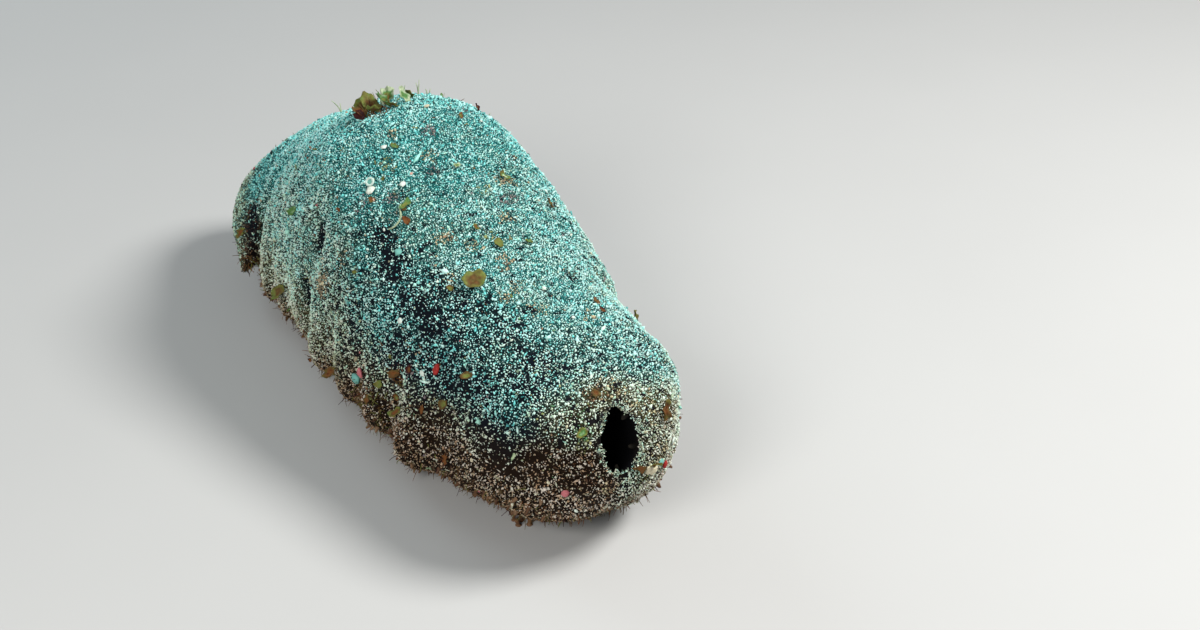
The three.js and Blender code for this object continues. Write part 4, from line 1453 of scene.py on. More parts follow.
def grain_meshes(centres, normals, radii, stretch, rng):
    """Rough eight-sided grains, each turned its own way, as vertices and faces. Stretch makes slivers."""
    count = len(centres)
    shape = OCTAHEDRON[None] * rng.uniform(*CORNER_REACH, (count, CORNERS, 1))
    shape = shape + rng.uniform(-CORNER_STRAY, CORNER_STRAY, (count, CORNERS, 3))
    shape[..., 2] *= stretch[:, None]
    shape[..., :2] /= np.sqrt(stretch)[:, None, None]
    upright = rng.normal(0, LEAN_SPREAD, count) + np.where(stretch > SLIVER_FROM, 0, FLAT_LEAN)
    sideways = np.cross(normals, rng.normal(0, 1, normals.shape))
    axis = unit(unit(sideways) + normals * upright[:, None])
    frames = basis_from(axis, rng.uniform(0, 2 * np.pi, count))
    vertices = np.einsum("gvi,gij->gvj", shape, frames) * radii[:, None, None] + centres[:, None, :]
    faces = OCTAHEDRON_FACES[None] + CORNERS * np.arange(count)[:, None, None]
    return vertices.reshape(-1, 3), faces.reshape(-1, 3)


def grain_object(name, sand, i, turn, rng):
    """One piece of the coat from the grains i, where turn is each root's place round the piece."""
    vertices, faces = grain_meshes(*(sand[key][i] for key in ("centre", "normal", "radius", "stretch")), rng)
    if len(faces) >= PIECE_TRIANGLES:
        raise RuntimeError(f"{name} has {len(faces)} triangles, over the limit of a coat piece")
    obj = new_object(name, vertices * MM, faces)
    ring = sand["ring"][i]
    root = unwrap(ring, turn, ring.min(), ring.max() + 1e-6)
    corner = OCTAHEDRON[OCTAHEDRON_FACES]
    corner = corner[..., :2] + corner[..., 2:] * 0.4
    add_uv(obj, np.clip(root[:, None, None, :] + PATCH * corner[None], 0, 1))
    for label in ("shade", "warmth", "tint"):
        add_value(obj, f"grain_{label}", np.repeat(sand[label][i], CORNERS))
    return finish_piece(obj, sand_grain_material(), "body_wall")


def grain_population(spacing, size, fine, rng):
    """One size class of the sand: places, sizes and colours of its grains."""
    found = scatter(spacing, rng)
    points, share, angle = found[2], found[4], found[5]
    chance = sand_cover(share, angle, points)
    if fine:
        chance = chance**0.6 * (0.32 + 0.68 * silt_depth(share, angle, points))
    kept = rng.uniform(0, 1, len(points)) < chance
    ring, segment, points, normals, share, angle = (values[kept] for values in found)
    count = len(ring)
    cover, base_warmth = sand_cover(share, angle, points), sand_warmth(share, angle, points)
    radii = size * np.clip(np.exp(rng.normal(0, SIZE_SPREAD, count)), *SIZE_RANGE) * (0.85 + 0.15 * cover)
    coarse = rng.uniform(0, 1, count) < (0 if fine else COARSE_SHARE)
    radii *= np.where(coarse, rng.uniform(*COARSE_GAIN, count), 1)
    slivers = rng.uniform(0, 1, count) < 0.05 + 0.2 * np.clip(base_warmth * 1.6 - 0.5, 0, 1)
    stretch = np.where(slivers, rng.uniform(*SLIVER_STRETCH, count), rng.uniform(*STONE_STRETCH, count))
    # Each grain's random tone, plus the painted light and shade of its zone.
    shade = rng.beta(*SHADE_RUN, count) + grain_tone_and_painted_light(share, angle, points)
    shade = shade - (FINE_DARKENING if fine else 0)
    return {
        "ring": ring, "segment": segment, "normal": normals, "share": share, "radius": radii,
        "centre": points + normals * (radii * rng.uniform(*BEDDING, count))[:, None], "stretch": stretch,
        "shade": np.clip(shade, 0, 1),
        "warmth": np.clip(base_warmth + rng.normal(0, WARMTH_SPREAD, count), 0, 1),
        "tint": grain_tint(points, share, rng),
    }


def build_sand():
    """Coat of sand, in pieces by length and side of the body."""
    coat = settings().coat
    grid = skin_grid()
    rng = np.random.default_rng(coat.seed)
    main = grain_population(coat.spacing / MM, coat.grain / MM, False, rng)
    fine = grain_population(coat.fine_spacing / MM, coat.fine_grain / MM, True, rng)
    sand = {key: np.concatenate([main[key], fine[key]]) for key in main}
    segments = grid.points.shape[1]
    made = []
    for side, start in (("right", RIGHT_START), ("left", LEFT_START)):
        turn = (sand["segment"] / segments - start) % 1
        half = turn < 0.5
        for name, low, high in COAT_STRETCHES:
            i = np.nonzero(half & (sand["share"] >= low) & (sand["share"] < high))[0]
            made.append(grain_object(f"sand_{name}_{side}", sand, i, turn[i] * 2, rng))
    return made


FOOT_PROFILE = ((0, 0), (1.15, 0), (1.22, 0.22), (0.86, 0.5), (0.74, 1.2), (0.8, 2.1), (0.95, 3.4), (0, 3.4))
FOOT_BANDS = (-21, 0, 21)
FOOT_SCATTER = 6.2
FOOT_PITCH = 2.1
FOOT_STRETCH = (0.14, 0.85)


def build_tube_feet():
    """Three bands of tube feet on the sole, each with its disc flat on the floor."""
    rng = rng_of("tube_feet")
    low, high = FOOT_STRETCH
    parts, tints = [], []
    for band in FOOT_BANDS:
        for share in np.arange(low, high, FOOT_PITCH / BODY_LENGTH):
            point, _, right = station(share + rng.uniform(-0.003, 0.003))
            place = point + right * (band + rng.uniform(-1, 1) * FOOT_SCATTER)
            size = rng.uniform(0.8, 1.1)
            shape, faces = turned([(r * size, z) for r, z in FOOT_PROFILE], 8, 0.08, rng)
            lean = rng.normal(0, 0.12, 2) * shape[:, 2:]
            shape[:, :2] += lean
            parts.append((shape + [*place, 0] + ORIGIN, faces))
            tints.append(0.35 + 0.5 * rng.uniform(0, 1) * np.clip(shape[:, 2] / 2, 0, 1))
    return joined_piece("tube_feet", parts, tints, foot_material(), "creeping_sole")


TEAT_PROFILE = ((0, -0.6), (1, -0.6), (0.95, 0), (0.72, 0.35), (0.5, 0.7), (0.34, 0.92), (0, 1))
FLANK_TEAT_BANDS = ((214, 8), (226, 8), (326, 8), (314, 8))
FLANK_TEAT_STRETCH = (0.06, 0.97)
FLANK_TEAT_PITCH = 0.017


def teat(root, direction, radius, length, rng):
    """Small pointed outgrowth of the skin, rooted in it."""
    shape, faces = turned([(r * radius, z * length) for r, z in TEAT_PROFILE], 7, 0.12, rng)
    shape[:, 0] += 0.12 * length * np.clip(shape[:, 2] / length, 0, 1) ** 2
    return placed(shape, basis_from(direction, rng.uniform(0, 2 * np.pi)), root), faces


def build_flank_papillae():
    """Fringe of short papillae low along both flanks and round the snout."""
    rng = rng_of("flank_papillae")
    grid = skin_grid()
    parts, tints = [], []
    for angle, spread in FLANK_TEAT_BANDS:
        for share in np.arange(*FLANK_TEAT_STRETCH, FLANK_TEAT_PITCH):
            along, at = share + rng.uniform(-0.005, 0.005), angle + rng.uniform(-1, 1) * spread
            root, normal, forward = grid.seat(along, at)
            if root[2] < FOOT_HEIGHT + 1.5:
                continue
            direction = unit(normal + forward * rng.normal(0, 0.3) + [0, 0, -0.25])
            length = min(rng.uniform(1.2, 2.6), 0.8 * root[2])
            parts.append(teat(root, direction, rng.uniform(0.65, 1.15), length, rng))
            tints.append(rng.uniform(0.1, 0.9))
    return joined_piece("flank_papillae", parts, tints, foot_material(), "creeping_sole")


# Vent.

TOOTH_PROFILE = ((0, -0.5), (0.9, -0.5), (0.95, -0.1), (0.72, 0.2), (0.4, 0.42), (0, 0.5))
TOOTH_LENGTH = 4.2
TOOTH_RADIUS = 1.3
TOOTH_SEAT_DEPTH = 4.2
TOOTH_FIRST_DEG = -90


def build_vent_teeth():
    """Five small limy teeth inside the vent, coloured near black and seated in its wall."""
    rng = rng_of("vent_teeth")
    centre, normal, across, up = VENT
    parts, tints = [], []
    for i in range(TEETH):
        turn = math.radians(TOOTH_FIRST_DEG + 360 / TEETH * i)
        c, s = math.cos(turn), math.sin(turn)
        root = centre + across * c * VENT_WIDTH / 2 + up * s * VENT_TALL / 2 - normal * TOOTH_SEAT_DEPTH
        rim = skin_grid().seat(0.001, (math.degrees(turn)) % 360)[0]
        root = root + normal * min(0.0, float((rim - ORIGIN - centre) @ normal)) + ORIGIN
        inward = unit(-across * c / VENT_WIDTH - up * s / VENT_TALL)
        shape, faces = turned([(r * TOOTH_RADIUS, z * TOOTH_LENGTH) for r, z in TOOTH_PROFILE], 9, 0.1, rng)
        parts.append((placed(shape, basis_from(inward), root), faces))
        tints.append(np.clip(0.5 + shape[:, 2] / TOOTH_LENGTH, 0, 1))
    nodes = [f"vent_tooth_{i + 1}" for i in range(TEETH)]
    return joined_piece("vent_teeth", parts, tints, tooth_material(), "vent_tooth", nodes)


# Groups of papillae round the vent, as degrees counter-clockwise from its right side.
VENT_GROUPS_DEG = (-97.5, -25, 47.5, 120, 190)
VENT_GROUP_SIZE = 6
VENT_GROUP_SPREAD_DEG = 8
VENT_STRAYS = 64
VENT_ODD_SHARE = 0.04


def build_vent_papillae():
    """Sandy papillae on the vent's rim, in five groups with strays between, and the grains they carry."""
    rng = rng_of("vent_papillae")
    centre, normal, across, up = VENT
    grid = skin_grid()
    rim = grid.points[grid.first]
    offset = rim - ORIGIN - centre
    rim_turn = np.degrees(np.arctan2(offset @ up, offset @ across))
    grouped = np.repeat(VENT_GROUPS_DEG, VENT_GROUP_SIZE)
    grouped = grouped + rng.normal(0, VENT_GROUP_SPREAD_DEG, len(grouped))
    turns = np.concatenate([grouped, rng.uniform(0, 360, VENT_STRAYS)])
    size = np.concatenate([rng.uniform(0.7, 1.15, len(grouped)), rng.uniform(0.45, 0.85, VENT_STRAYS)])
    parts, tints, grains = [], [], []
    for turn, scale in zip(turns, size):
        j = int(np.argmin(np.abs(turn_from(turn, rim_turn))))
        ring = grid.first + int(rng.integers(0, 5))
        root, skin_normal = grid.points[ring, j], grid.normals[ring, j]
        inward = unit(ORIGIN + centre - root - normal * float((ORIGIN + centre - root) @ normal))
        lean = inward * rng.uniform(0.3, 1.0) + rng.normal(0, 0.15, 3)
        direction = unit(0.55 * skin_normal + 0.55 * normal + lean)
        length = scale * rng.uniform(1.1, 1.9)
        parts.append(teat(root, direction, 0.46 * scale, length, rng))
        tints.append(rng.uniform(0, 1))
        for _ in range(int(9 * scale)):
            along = direction * length * rng.uniform(0.25, 1.1)
            grains.append({
                "centre": root + along + rng.normal(0, 0.3, 3), "normal": direction,
                "radius": rng.uniform(0.15, 0.3), "stretch": rng.uniform(1, 3),
                "ring": ring + rng.uniform(0, 1), "turn": (turn / 360) % 1,
            })
    joined_piece("vent_papillae", parts, tints, dark_skin_material(), "body_wall")
    sand = {key: np.array([grain[key] for grain in grains]) for key in grains[0]}
    count = len(sand["ring"])
    sand["shade"] = np.clip(rng.beta(3, 1.4, count), 0, 1)
    sand["warmth"] = np.clip(rng.normal(0.52, 0.15, count), 0, 1)
    sand["tint"] = np.where(rng.uniform(0, 1, count) < VENT_ODD_SHARE, rng.uniform(LEAST_TINT, 1, count), 0)
    return grain_object("sand_vent_papillae", sand, np.arange(count), sand["turn"], rng)


# Mouth.

GULLET_RADIUS = 2.6
MEMBRANE_RINGS = 22
MEMBRANE_SIDES = 60
MEMBRANE_THICKNESS = 0.3
DISC_TOP = 2.3


def mouth_place(shape):
    """Moves a shape from the mouth's own frame, with +Z out of it, to its place."""
    centre, normal, across, up = MOUTH
    return placed(shape, np.stack([across, up, normal]), centre + ORIGIN)


def build_mouth_membrane():
    """Folded membrane on the floor of the mouth, round the gullet."""
    turn = full_turn(MEMBRANE_SIDES)
    share = (np.arange(MEMBRANE_RINGS) + 1) / MEMBRANE_RINGS
    radius = share * (MOUTH_RADIUS - 1.4)
    dip = 3.2 * bell(radius, GULLET_RADIUS * 0.8)
    lip = 0.8 * bell(radius - GULLET_RADIUS * 1.5, 1.0)
    folds = 0.28 * np.sin(turn * 20)[None, :] * ease(share * 3)[:, None] * (1 - share[:, None] * 0.4)
    height = DISC_TOP - MOUTH_DEPTH + (lip - dip)[:, None] + folds
    x, y = radius[:, None] * np.cos(turn), radius[:, None] * np.sin(turn)
    floor = MEMBRANE_THICKNESS - MOUTH_DEPTH
    top = np.stack([x, y, height], -1)
    under = np.stack([x, y, np.minimum(floor, height - MEMBRANE_THICKNESS)], -1)
    middle = float(height[0].mean())
    low = min(floor, middle - 0.5)
    vertices, faces = closed_rings((0, 0, low), np.concatenate([under, top[::-1]]), (0, 0, middle - 0.2))
    obj = new_object("mouth_membrane", mouth_place(vertices) * MM, faces, smooth=True)
    return finish_piece(obj, mouth_material(), "mouth", "mouth_disc")


# Two rows of tentacles, as (distance from the middle, lean outward, stalk), and the steps of a shield's lobe,
# as (outward, forward, radius).
TENTACLE_ROWS = ((7, 0.42, 5.4), (4.9, 0.26, 4.6))
SHIELD_STEPS = ((0, 0, 0.42), (0.6, 0.35, 0.42), (1.15, 0.75, 0.4), (1.3, 1.15, 0.24))
STALK_RADIUS = 0.75
SHIELD_LOBES = 7


def build_tentacles():
    """Twenty feeding tentacles in two rows: a stalk and a shield of lobes, drawn in at rest."""
    rng = rng_of("feeding_tentacles")
    parts, tints = [], []
    for i in range(TENTACLES):
        ring, lean, stalk = TENTACLE_ROWS[i % 2]
        turn = 2 * math.pi * (i + 0.5) / TENTACLES
        outward = np.array([math.cos(turn), math.sin(turn), 0])
        root = outward * ring + [0, 0, DISC_TOP - MOUTH_DEPTH - 0.4]
        rise = unit(outward * lean + [0, 0, 1])
        path = [root + rise * stalk * s for s in np.linspace(0, 0.9, 5)]
        radii = STALK_RADIUS * np.array([1.15, 0.95, 0.85, 0.9, 1.1])
        bodies = [tube(path, radii, 8)]
        tip = path[-1]
        for k in range(SHIELD_LOBES):
            spoke = 2 * math.pi * k / SHIELD_LOBES + rng.uniform(-0.2, 0.2)
            frame = basis_from(rise)
            out = frame[0] * math.cos(spoke) + frame[1] * math.sin(spoke)
            reach = rng.uniform(0.7, 1.0)
            bend = [tip + out * outward_by * reach + rise * by for outward_by, by, _ in SHIELD_STEPS]
            bodies.append(tube(bend, [radius for _, _, radius in SHIELD_STEPS], 6))
        whole = joined(bodies)
        parts.append((mouth_place(whole[0]), whole[1]))
        tints.append(rng.uniform(0.2, 0.8))
    nodes = [f"tentacle_{i + 1:02d}" for i in range(TENTACLES)]
    return joined_piece("feeding_tentacles", parts, tints, tentacle_material(), "tentacle", nodes)


# Bits that the animal carries.

# Leaves that show, as (share along, angle, length, width, tint at the middle, tint at the edge, tilt in
# degrees, turn in radians).
SHOWN_LEAVES = (
    (0.281, 111, 8.6, 8.2, WEED_BROWN, WEED_OLIVE, 6, 0.4),
    (0.323, 92, 4.2, 3.6, WEED_OLIVE, WEED_OLIVE, 20, 1.0),
    (0.443, 113.6, 7.0, 2.4, WEED_OLIVE, 0.78, 22, 1.9),
    (0.423, 116.4, 4.2, 2.2, WEED_RUST, WEED_RUST, 25, 0.2),
    (0.196, 67, 2.8, 2.4, WEED_BROWN, WEED_RUST, 12, 0.4),
    (0.64, 154, 4.6, 3.2, WEED_GREEN, WEED_GREEN, 25, 0.8),
    (0.437, 115, 2.6, 1.6, WEED_RUST, WEED_BROWN, 35, 2.6),
    (0.479, 123.3, 3.0, 2.2, WEED_RUST, WEED_BROWN, 25, 1.1),
    (0.191, 150, 4.2, 3.0, WEED_OLIVE, WEED_BROWN, 30, 0.9),
    (0.314, 81, 3.6, 2.6, WEED_GREEN, WEED_OLIVE, 20, 2.2),
    (0.394, 57, 4.6, 3.4, WEED_OLIVE, WEED_BROWN, 35, 1.4),
    (0.02, 138, 4.4, 3.0, WEED_GREEN, WEED_OLIVE, 15, 0.5),
    (0.006, 322, 4.8, 2.4, WEED_RUST, WEED_OLIVE, 40, 1.5),
    (0.048, 100, 3.4, 2.6, WEED_RUST, WEED_BROWN, 25, 0.3),
    (0.02, 34, 8.4, 4.0, WEED_RUST, WEED_BROWN, 8, 1.45),
    (0.002, 292, 5.4, 2.6, WEED_RUST, WEED_BROWN, 30, 1.2),
    (0.36, 95, 2.8, 1.8, WEED_RUST, WEED_OLIVE, 25, 0.5),
    (0.295, 122, 3.0, 2.2, WEED_OLIVE, WEED_BROWN, 30, 0.8),
    (0.44, 72, 5.5, 3.0, WEED_PALE, WEED_OLIVE, 12, 1.3),
    (0.47, 88, 3.6, 2.4, WEED_OLIVE, WEED_PALE, 15, 2.0),
    (0.56, 76, 2.8, 2.2, WEED_OLIVE, WEED_RUST, 20, 0.0),
    (0.53, 104, 3.4, 2.2, WEED_GREEN, WEED_OLIVE, 12, 0.5),
    (0.60, 62, 3.4, 2.0, WEED_RUST, WEED_RED, 30, 0.5),
    (0.30, 186, 5.6, 3.6, WEED_RUST, WEED_OLIVE, 35, 1.2),
    (0.46, 192, 6.4, 4.0, WEED_RUST, WEED_BROWN, 40, 0.8),
    (0.69, 186, 7.5, 5.2, WEED_BROWN, WEED_OLIVE, 40, 1.2),
    (0.955, 168, 5.4, 3.6, WEED_RUST, WEED_OLIVE, 30, 0.4),
    (0.8, 40, 6.0, 4.4, WEED_BROWN, WEED_OLIVE, 25, 0.9),
    (0.312, 174, 4.8, 3.4, WEED_RUST, WEED_BROWN, 22, 0.6),
    (0.286, 168, 3.6, 2.8, WEED_RUST, WEED_RED, 20, 2.0),
    (0.219, 175, 4.4, 3.0, WEED_OLIVE, WEED_BROWN, 18, 1.2),
    (0.307, 182, 3.4, 2.4, WEED_OLIVE, WEED_RUST, 15, 0.4),
    (0.25, 180, 3.2, 1.8, WEED_RUST, WEED_RUST, 15, 1.4),
    (0.215, 196, 4.6, 2.4, WEED_RUST, WEED_RUST, 15, 1.5),
    (0.342, 181, 3.8, 2.8, WEED_OLIVE, WEED_OLIVE, 18, 1.0),
    (0.366, 189, 4.4, 3.2, WEED_RUST, WEED_BROWN, 25, 2.2),
    (0.25, 14, 5.4, 3.8, WEED_BROWN, WEED_OLIVE, 30, 0.3),
    (0.55, 8, 6.4, 4.4, WEED_OLIVE, WEED_GREEN, 35, 1.9),
)
SMALL_LEAVES = 44
SMALL_LEAF_SPACING = 9.0
SMALL_LEAF_TINTS = (WEED_RUST, WEED_BROWN, WEED_OLIVE, WEED_OLIVE, WEED_GREEN, WEED_PALE)

# Leaves of the tuft on the back, in the same way.
TUFT_LEAVES = (
    (0.652, 99, 9, 7, WEED_BROWN, WEED_OLIVE, 50, 0.2), (0.64, 95, 8, 6, WEED_OLIVE, WEED_GREEN, 62, 1.2),
    (0.632, 100, 7, 5, WEED_BROWN, WEED_OLIVE, 45, 2.3),
    (0.66, 92, 8.5, 6, WEED_OLIVE, WEED_PALE, 58, -0.6),
    (0.648, 104, 6.5, 5, WEED_RED, WEED_BROWN, 35, 0.8),
    (0.668, 100, 7, 5.5, WEED_BROWN, WEED_OLIVE, 66, 3.0),
    (0.624, 93, 5.5, 4, WEED_RUST, WEED_OLIVE, 40, 1.6),
    (0.64, 89, 6.5, 4.5, WEED_GREEN, WEED_PALE, 55, 0.4),
    (0.642, 107, 5.5, 4, WEED_RED, WEED_RED, 25, 0.1), (0.655, 85, 5, 4, WEED_GREEN, WEED_OLIVE, 48, 2.0),
)

# Tufts of fine fronds, as (share along, angle, count, longest).
FROND_TUFTS = (
    (0.645, 99, 46, 6.0), (0.315, 179, 26, 3.6), (0.36, 190, 30, 4.0), (0.405, 195, 20, 4.0),
    (0.93, 186, 24, 4.0),
)


TUFT_FROND_RADIUS = 0.24


def leaf_on_skin(share, angle, length, width, middle, edge, tilt, turn, rng):
    """Leaf that stands on the skin by its stem end, tilted up from it: body and tints."""
    root, normal, forward = skin_grid().seat(share, angle)
    side = np.cross(normal, forward)
    c, s = math.cos(turn), math.sin(turn)
    lie, level = forward * c + side * s, side * c - forward * s
    t = math.radians(tilt)
    x_axis, z_axis = lie * math.cos(t) + normal * math.sin(t), normal * math.cos(t) - lie * math.sin(t)
    shape, faces, nearness = leaf(length, width, rng)
    shape = shape + [0.42 * length * math.sin(t), 0, 0.7 + 0.1 * length]
    tints = middle + (edge - middle) * ease((nearness - 0.3) / 0.5) + 0.17 * field(shape, "leaf")
    return (placed(shape, np.stack([x_axis, level, z_axis]), root), faces), np.clip(tints, 0, 1)


def build_weed_leaves():
    """Loose scraps of weed that lie on the animal."""
    rng = rng_of("weed_leaves")
    made = [leaf_on_skin(*row, rng) for row in SHOWN_LEAVES]
    _, _, points, _, share, angle = scatter(SMALL_LEAF_SPACING, rng)
    chosen = rng.permutation(len(points))[:SMALL_LEAVES]
    for along, at in zip(share[chosen], angle[chosen]):
        size = rng.uniform(1.3, 2.9)
        tint = rng.choice(SMALL_LEAF_TINTS)
        tilt, turn = rng.uniform(5, 45), rng.uniform(0, 6.3)
        width = size * rng.uniform(0.5, 0.9)
        made.append(leaf_on_skin(along, at, size, width, tint, tint - 0.1, tilt, turn, rng))
    return joined_piece("weed_leaves", *zip(*made), weed_material(), "carried_weed")


def build_weed_tuft():
    """Tuft of weed on the back, with a dark red foot, and smaller tufts of fronds low on the left flank."""
    rng = rng_of("weed_tuft")
    made = [leaf_on_skin(*row, rng) for row in TUFT_LEAVES]
    for along, at, count, longest in FROND_TUFTS:
        for _ in range(count):
            root, normal, _ = skin_grid().seat(along + rng.normal(0, 0.011), at + rng.normal(0, 5))
            direction = unit(normal + rng.normal(0, 0.5, 3))
            body = frond(root, direction, rng.uniform(0.42, 1) * longest, TUFT_FROND_RADIUS, rng)
            made.append((body, frond_tint(rng)))
    return joined_piece("weed_tuft", *zip(*made), weed_material(), "carried_weed")


def frond(root, direction, length, radius, rng):
    """Thin curving strand that tapers from the skin."""
    bend = rng.normal(0, 0.45, 3)
    steps = np.linspace(-0.1, 1, 6)[:, None]
    path = root + length * (direction * steps + 0.5 * bend * steps**2)
    return tube(path, radius * np.linspace(1, 0.45, 6), 4)


def frond_tint(rng):
    return rng.choice((WEED_RED, WEED_RUST, WEED_BROWN, WEED_BROWN, WEED_OLIVE))


FUZZ_SPACING = 2.0


def build_weed_fuzz():
    """Fuzz of fine brown weed low on the flanks and under the vent, with a few strands higher up."""
    rng = rng_of("weed_fuzz")
    _, _, points, normals, share, angle = scatter(FUZZ_SPACING, rng)
    warmth = sand_warmth(share, angle, points)
    low = 1 - ease((points[:, 2] - 6) / 26)
    chance = 0.85 * low + 0.1 * np.clip(warmth - 0.3, 0, 1) + 0.012
    kept = np.nonzero(rng.uniform(0, 1, len(points)) < chance)[0]
    parts, tints = [], []
    for i in kept:
        direction = unit(normals[i] + rng.normal(0, 0.55, 3))
        length = rng.uniform(1.2, 3.4) * (0.7 + 0.5 * low[i])
        if points[i, 2] + direction[2] * length * 1.6 < 1:
            direction = unit(direction * [1, 1, 0] + [0, 0, 0.2])
        parts.append(frond(points[i], direction, length, rng.uniform(0.13, 0.22), rng))
        tints.append(frond_tint(rng))
    return joined_piece("weed_fuzz", parts, tints, weed_material(), "carried_weed")


# Pale thread that lies on the back, as (share along, angle, height over the skin).
THREAD_ROUTE = (
    (0.449, 115.2, 0.6), (0.441, 116.2, 1.2), (0.434, 117.2, 1.4), (0.4295, 118.8, 1.3), (0.4275, 121, 1.1),
    (0.4285, 123.4, 0.8), (0.433, 125.2, 0.3),
)
THREAD_STEPS = 22
THREAD_RADIUS = 0.4
HAIR_RADIUS = 0.36

# Fine hairs, as (share along, angle, length).
HAIRS = (
    (0.692, 74, 6.5), (0.69, 73, 4.5), (0.688, 70, 3.2), (0.7, 79, 3.4), (0.696, 66, 2.6), (0.72, 82, 2.6),
    (0.834, 77, 6.0), (0.83, 79, 3.6), (0.62, 50, 2.4),
)


def build_threads():
    """Pale thread on the back and the fine hairs that stand up behind it."""
    rng = rng_of("threads")
    route = []
    for share, angle, lift in THREAD_ROUTE:
        point, normal, _ = skin_grid().seat(share, angle)
        route.append(point + normal * (lift + 0.5))
    route = np.array(route)
    route[1:-1] = (route[:-2] + 2 * route[1:-1] + route[2:]) / 4
    steps = np.linspace(0, 1, THREAD_STEPS)
    path = np.stack([spline(route[:, k], steps) for k in range(3)], -1)
    parts = [tube(path, THREAD_RADIUS * np.interp(steps, (0, 0.3, 1), (0.55, 1, 0.8)), 6)]
    tints = [WEED_PALE]
    for share, angle, length in HAIRS:
        point, normal, _ = skin_grid().seat(share, angle)
        direction = unit(normal * 0.7 + [0, 0, 0.7] + rng.normal(0, 0.15, 3))
        parts.append(frond(point, direction, length, HAIR_RADIUS, rng))
        tints.append(WEED_PALE)
    return joined_piece("threads", parts, tints, weed_material(), "carried_weed")


# Bits of seashell and stone that show, as (share along, angle, size, tint).
SHOWN_CHIPS = (
    (0.492, 122, 2.0, 0.7), (0.482, 124, 1.1, 0.4), (0.243, 159, 2.0, CHIP_RED),
    (0.029, 206, 1.6, CHIP_PINK), (0.408, 188, 2.6, CHIP_TEAL), (0.396, 183, 2.1, CHIP_PINK),
    (0.006, 310, 2.2, CHIP_CREAM), (0.009, 316, 2.0, CHIP_CREAM), (0.03, 350, 1.5, CHIP_WHITE),
    (0.012, 330, 1.6, CHIP_TEAL), (0.02, 330, 1.5, CHIP_RED), (0.54, 108, 1.4, CHIP_WHITE),
    (0.47, 110, 1.2, CHIP_WHITE), (0.6, 84, 1.2, CHIP_CREAM), (0.398, 128, 1.5, CHIP_TEAL),
    (0.33, 150, 1.2, CHIP_WHITE), (0.26, 165, 1.2, CHIP_WHITE), (0.5, 20, 2.0, CHIP_CREAM),
    (0.3, 330, 2.2, CHIP_WHITE), (0.75, 30, 1.8, CHIP_PINK), (0.85, 60, 1.6, CHIP_WHITE),
)
SMALL_CHIPS = 64
SMALL_CHIP_SPACING = 7.0
SMALL_CHIP_TINTS = (CHIP_PINK, CHIP_CREAM, CHIP_WHITE, CHIP_WHITE, CHIP_TEAL)
CHIP_PROFILE = ((0, -0.55), (0.6, -0.5), (1, -0.1), (0.95, 0.2), (0.55, 0.48), (0, 0.5))


def chip(share, angle, size, rng, tip=0.35, slimmest=0.55):
    """Worn bit of seashell or stone bedded in the skin."""
    root, normal, _ = skin_grid().seat(share, angle)
    shape, faces = turned([(r * size, z * size * 0.8) for r, z in CHIP_PROFILE], 9, 0.22, rng)
    shape *= [1, rng.uniform(slimmest, 0.95), rng.uniform(0.6, 1)]
    frame = basis_from(unit(normal + rng.normal(0, tip, 3)), rng.uniform(0, 2 * np.pi))
    return placed(shape, frame, root + normal * (0.5 + 0.2 * size)), faces


def build_seashell_chips():
    """Bits of seashell, coral and stone among the sand."""
    rng = rng_of("seashell_chips")
    parts = [chip(share, angle, size, rng, 0.12, 0.85) for share, angle, size, _ in SHOWN_CHIPS]
    tints = [row[3] for row in SHOWN_CHIPS]
    _, _, points, _, share, angle = scatter(SMALL_CHIP_SPACING, rng)
    for i in rng.permutation(len(points))[:SMALL_CHIPS]:
        parts.append(chip(share[i], angle[i], rng.uniform(0.45, 0.85), rng))
        tints.append(rng.choice(SMALL_CHIP_TINTS) + rng.normal(0, 0.04))
    return joined_piece("seashell_chips", parts, tints, seashell_material(), "carried_shell", smooth=False)


RING_PLACE = (0.504, 120)
RING_RADIUS = 1.45
RING_THICKNESS = 0.5
RING_TINT = 0.82
RING_SIDES = 36
BEAD_SIDES = 10
RING_DISC_PROFILE = ((0, -0.4), (1.2, -0.4), (1.1, 0.1), (0.5, 0.22), (0, 0.25))


def build_seashell_ring():
    """Small ring of seashell that lies flat on the back, with a greenish disc inside."""
    point, normal, _ = skin_grid().seat(*RING_PLACE)
    frame = basis_from(unit(normal + [-0.25, -0.35, 0.1]))
    turn, bead = full_turn(RING_SIDES)[:, None], full_turn(BEAD_SIDES)
    radius = RING_RADIUS + RING_THICKNESS * np.cos(bead) * (1 + 0.08 * np.sin(3 * turn))
    height = RING_THICKNESS * 0.9 * np.sin(bead) + 0 * turn
    shape = np.stack([radius * np.cos(turn), radius * np.sin(turn), height], -1).reshape(-1, 3)
    i, j = np.meshgrid(np.arange(RING_SIDES), np.arange(BEAD_SIDES), indexing="ij")
    i2, j2 = (i + 1) % RING_SIDES, (j + 1) % BEAD_SIDES
    corners = [a * BEAD_SIDES + b for a, b in ((i, j), (i2, j), (i2, j2), (i, j2))]
    quads = np.stack(corners, -1).reshape(-1, 4)
    faces = np.concatenate([quads[:, [0, 1, 2]], quads[:, [0, 2, 3]]])
    disc, disc_faces = turned(RING_DISC_PROFILE, 16)
    origin = point + normal * 1.0
    parts = [(placed(shape, frame, origin), faces), (placed(disc, frame, origin), disc_faces)]
    return joined_piece("seashell_ring", parts, [RING_TINT, CHIP_TEAL], seashell_material(), "carried_shell")


# Stage.

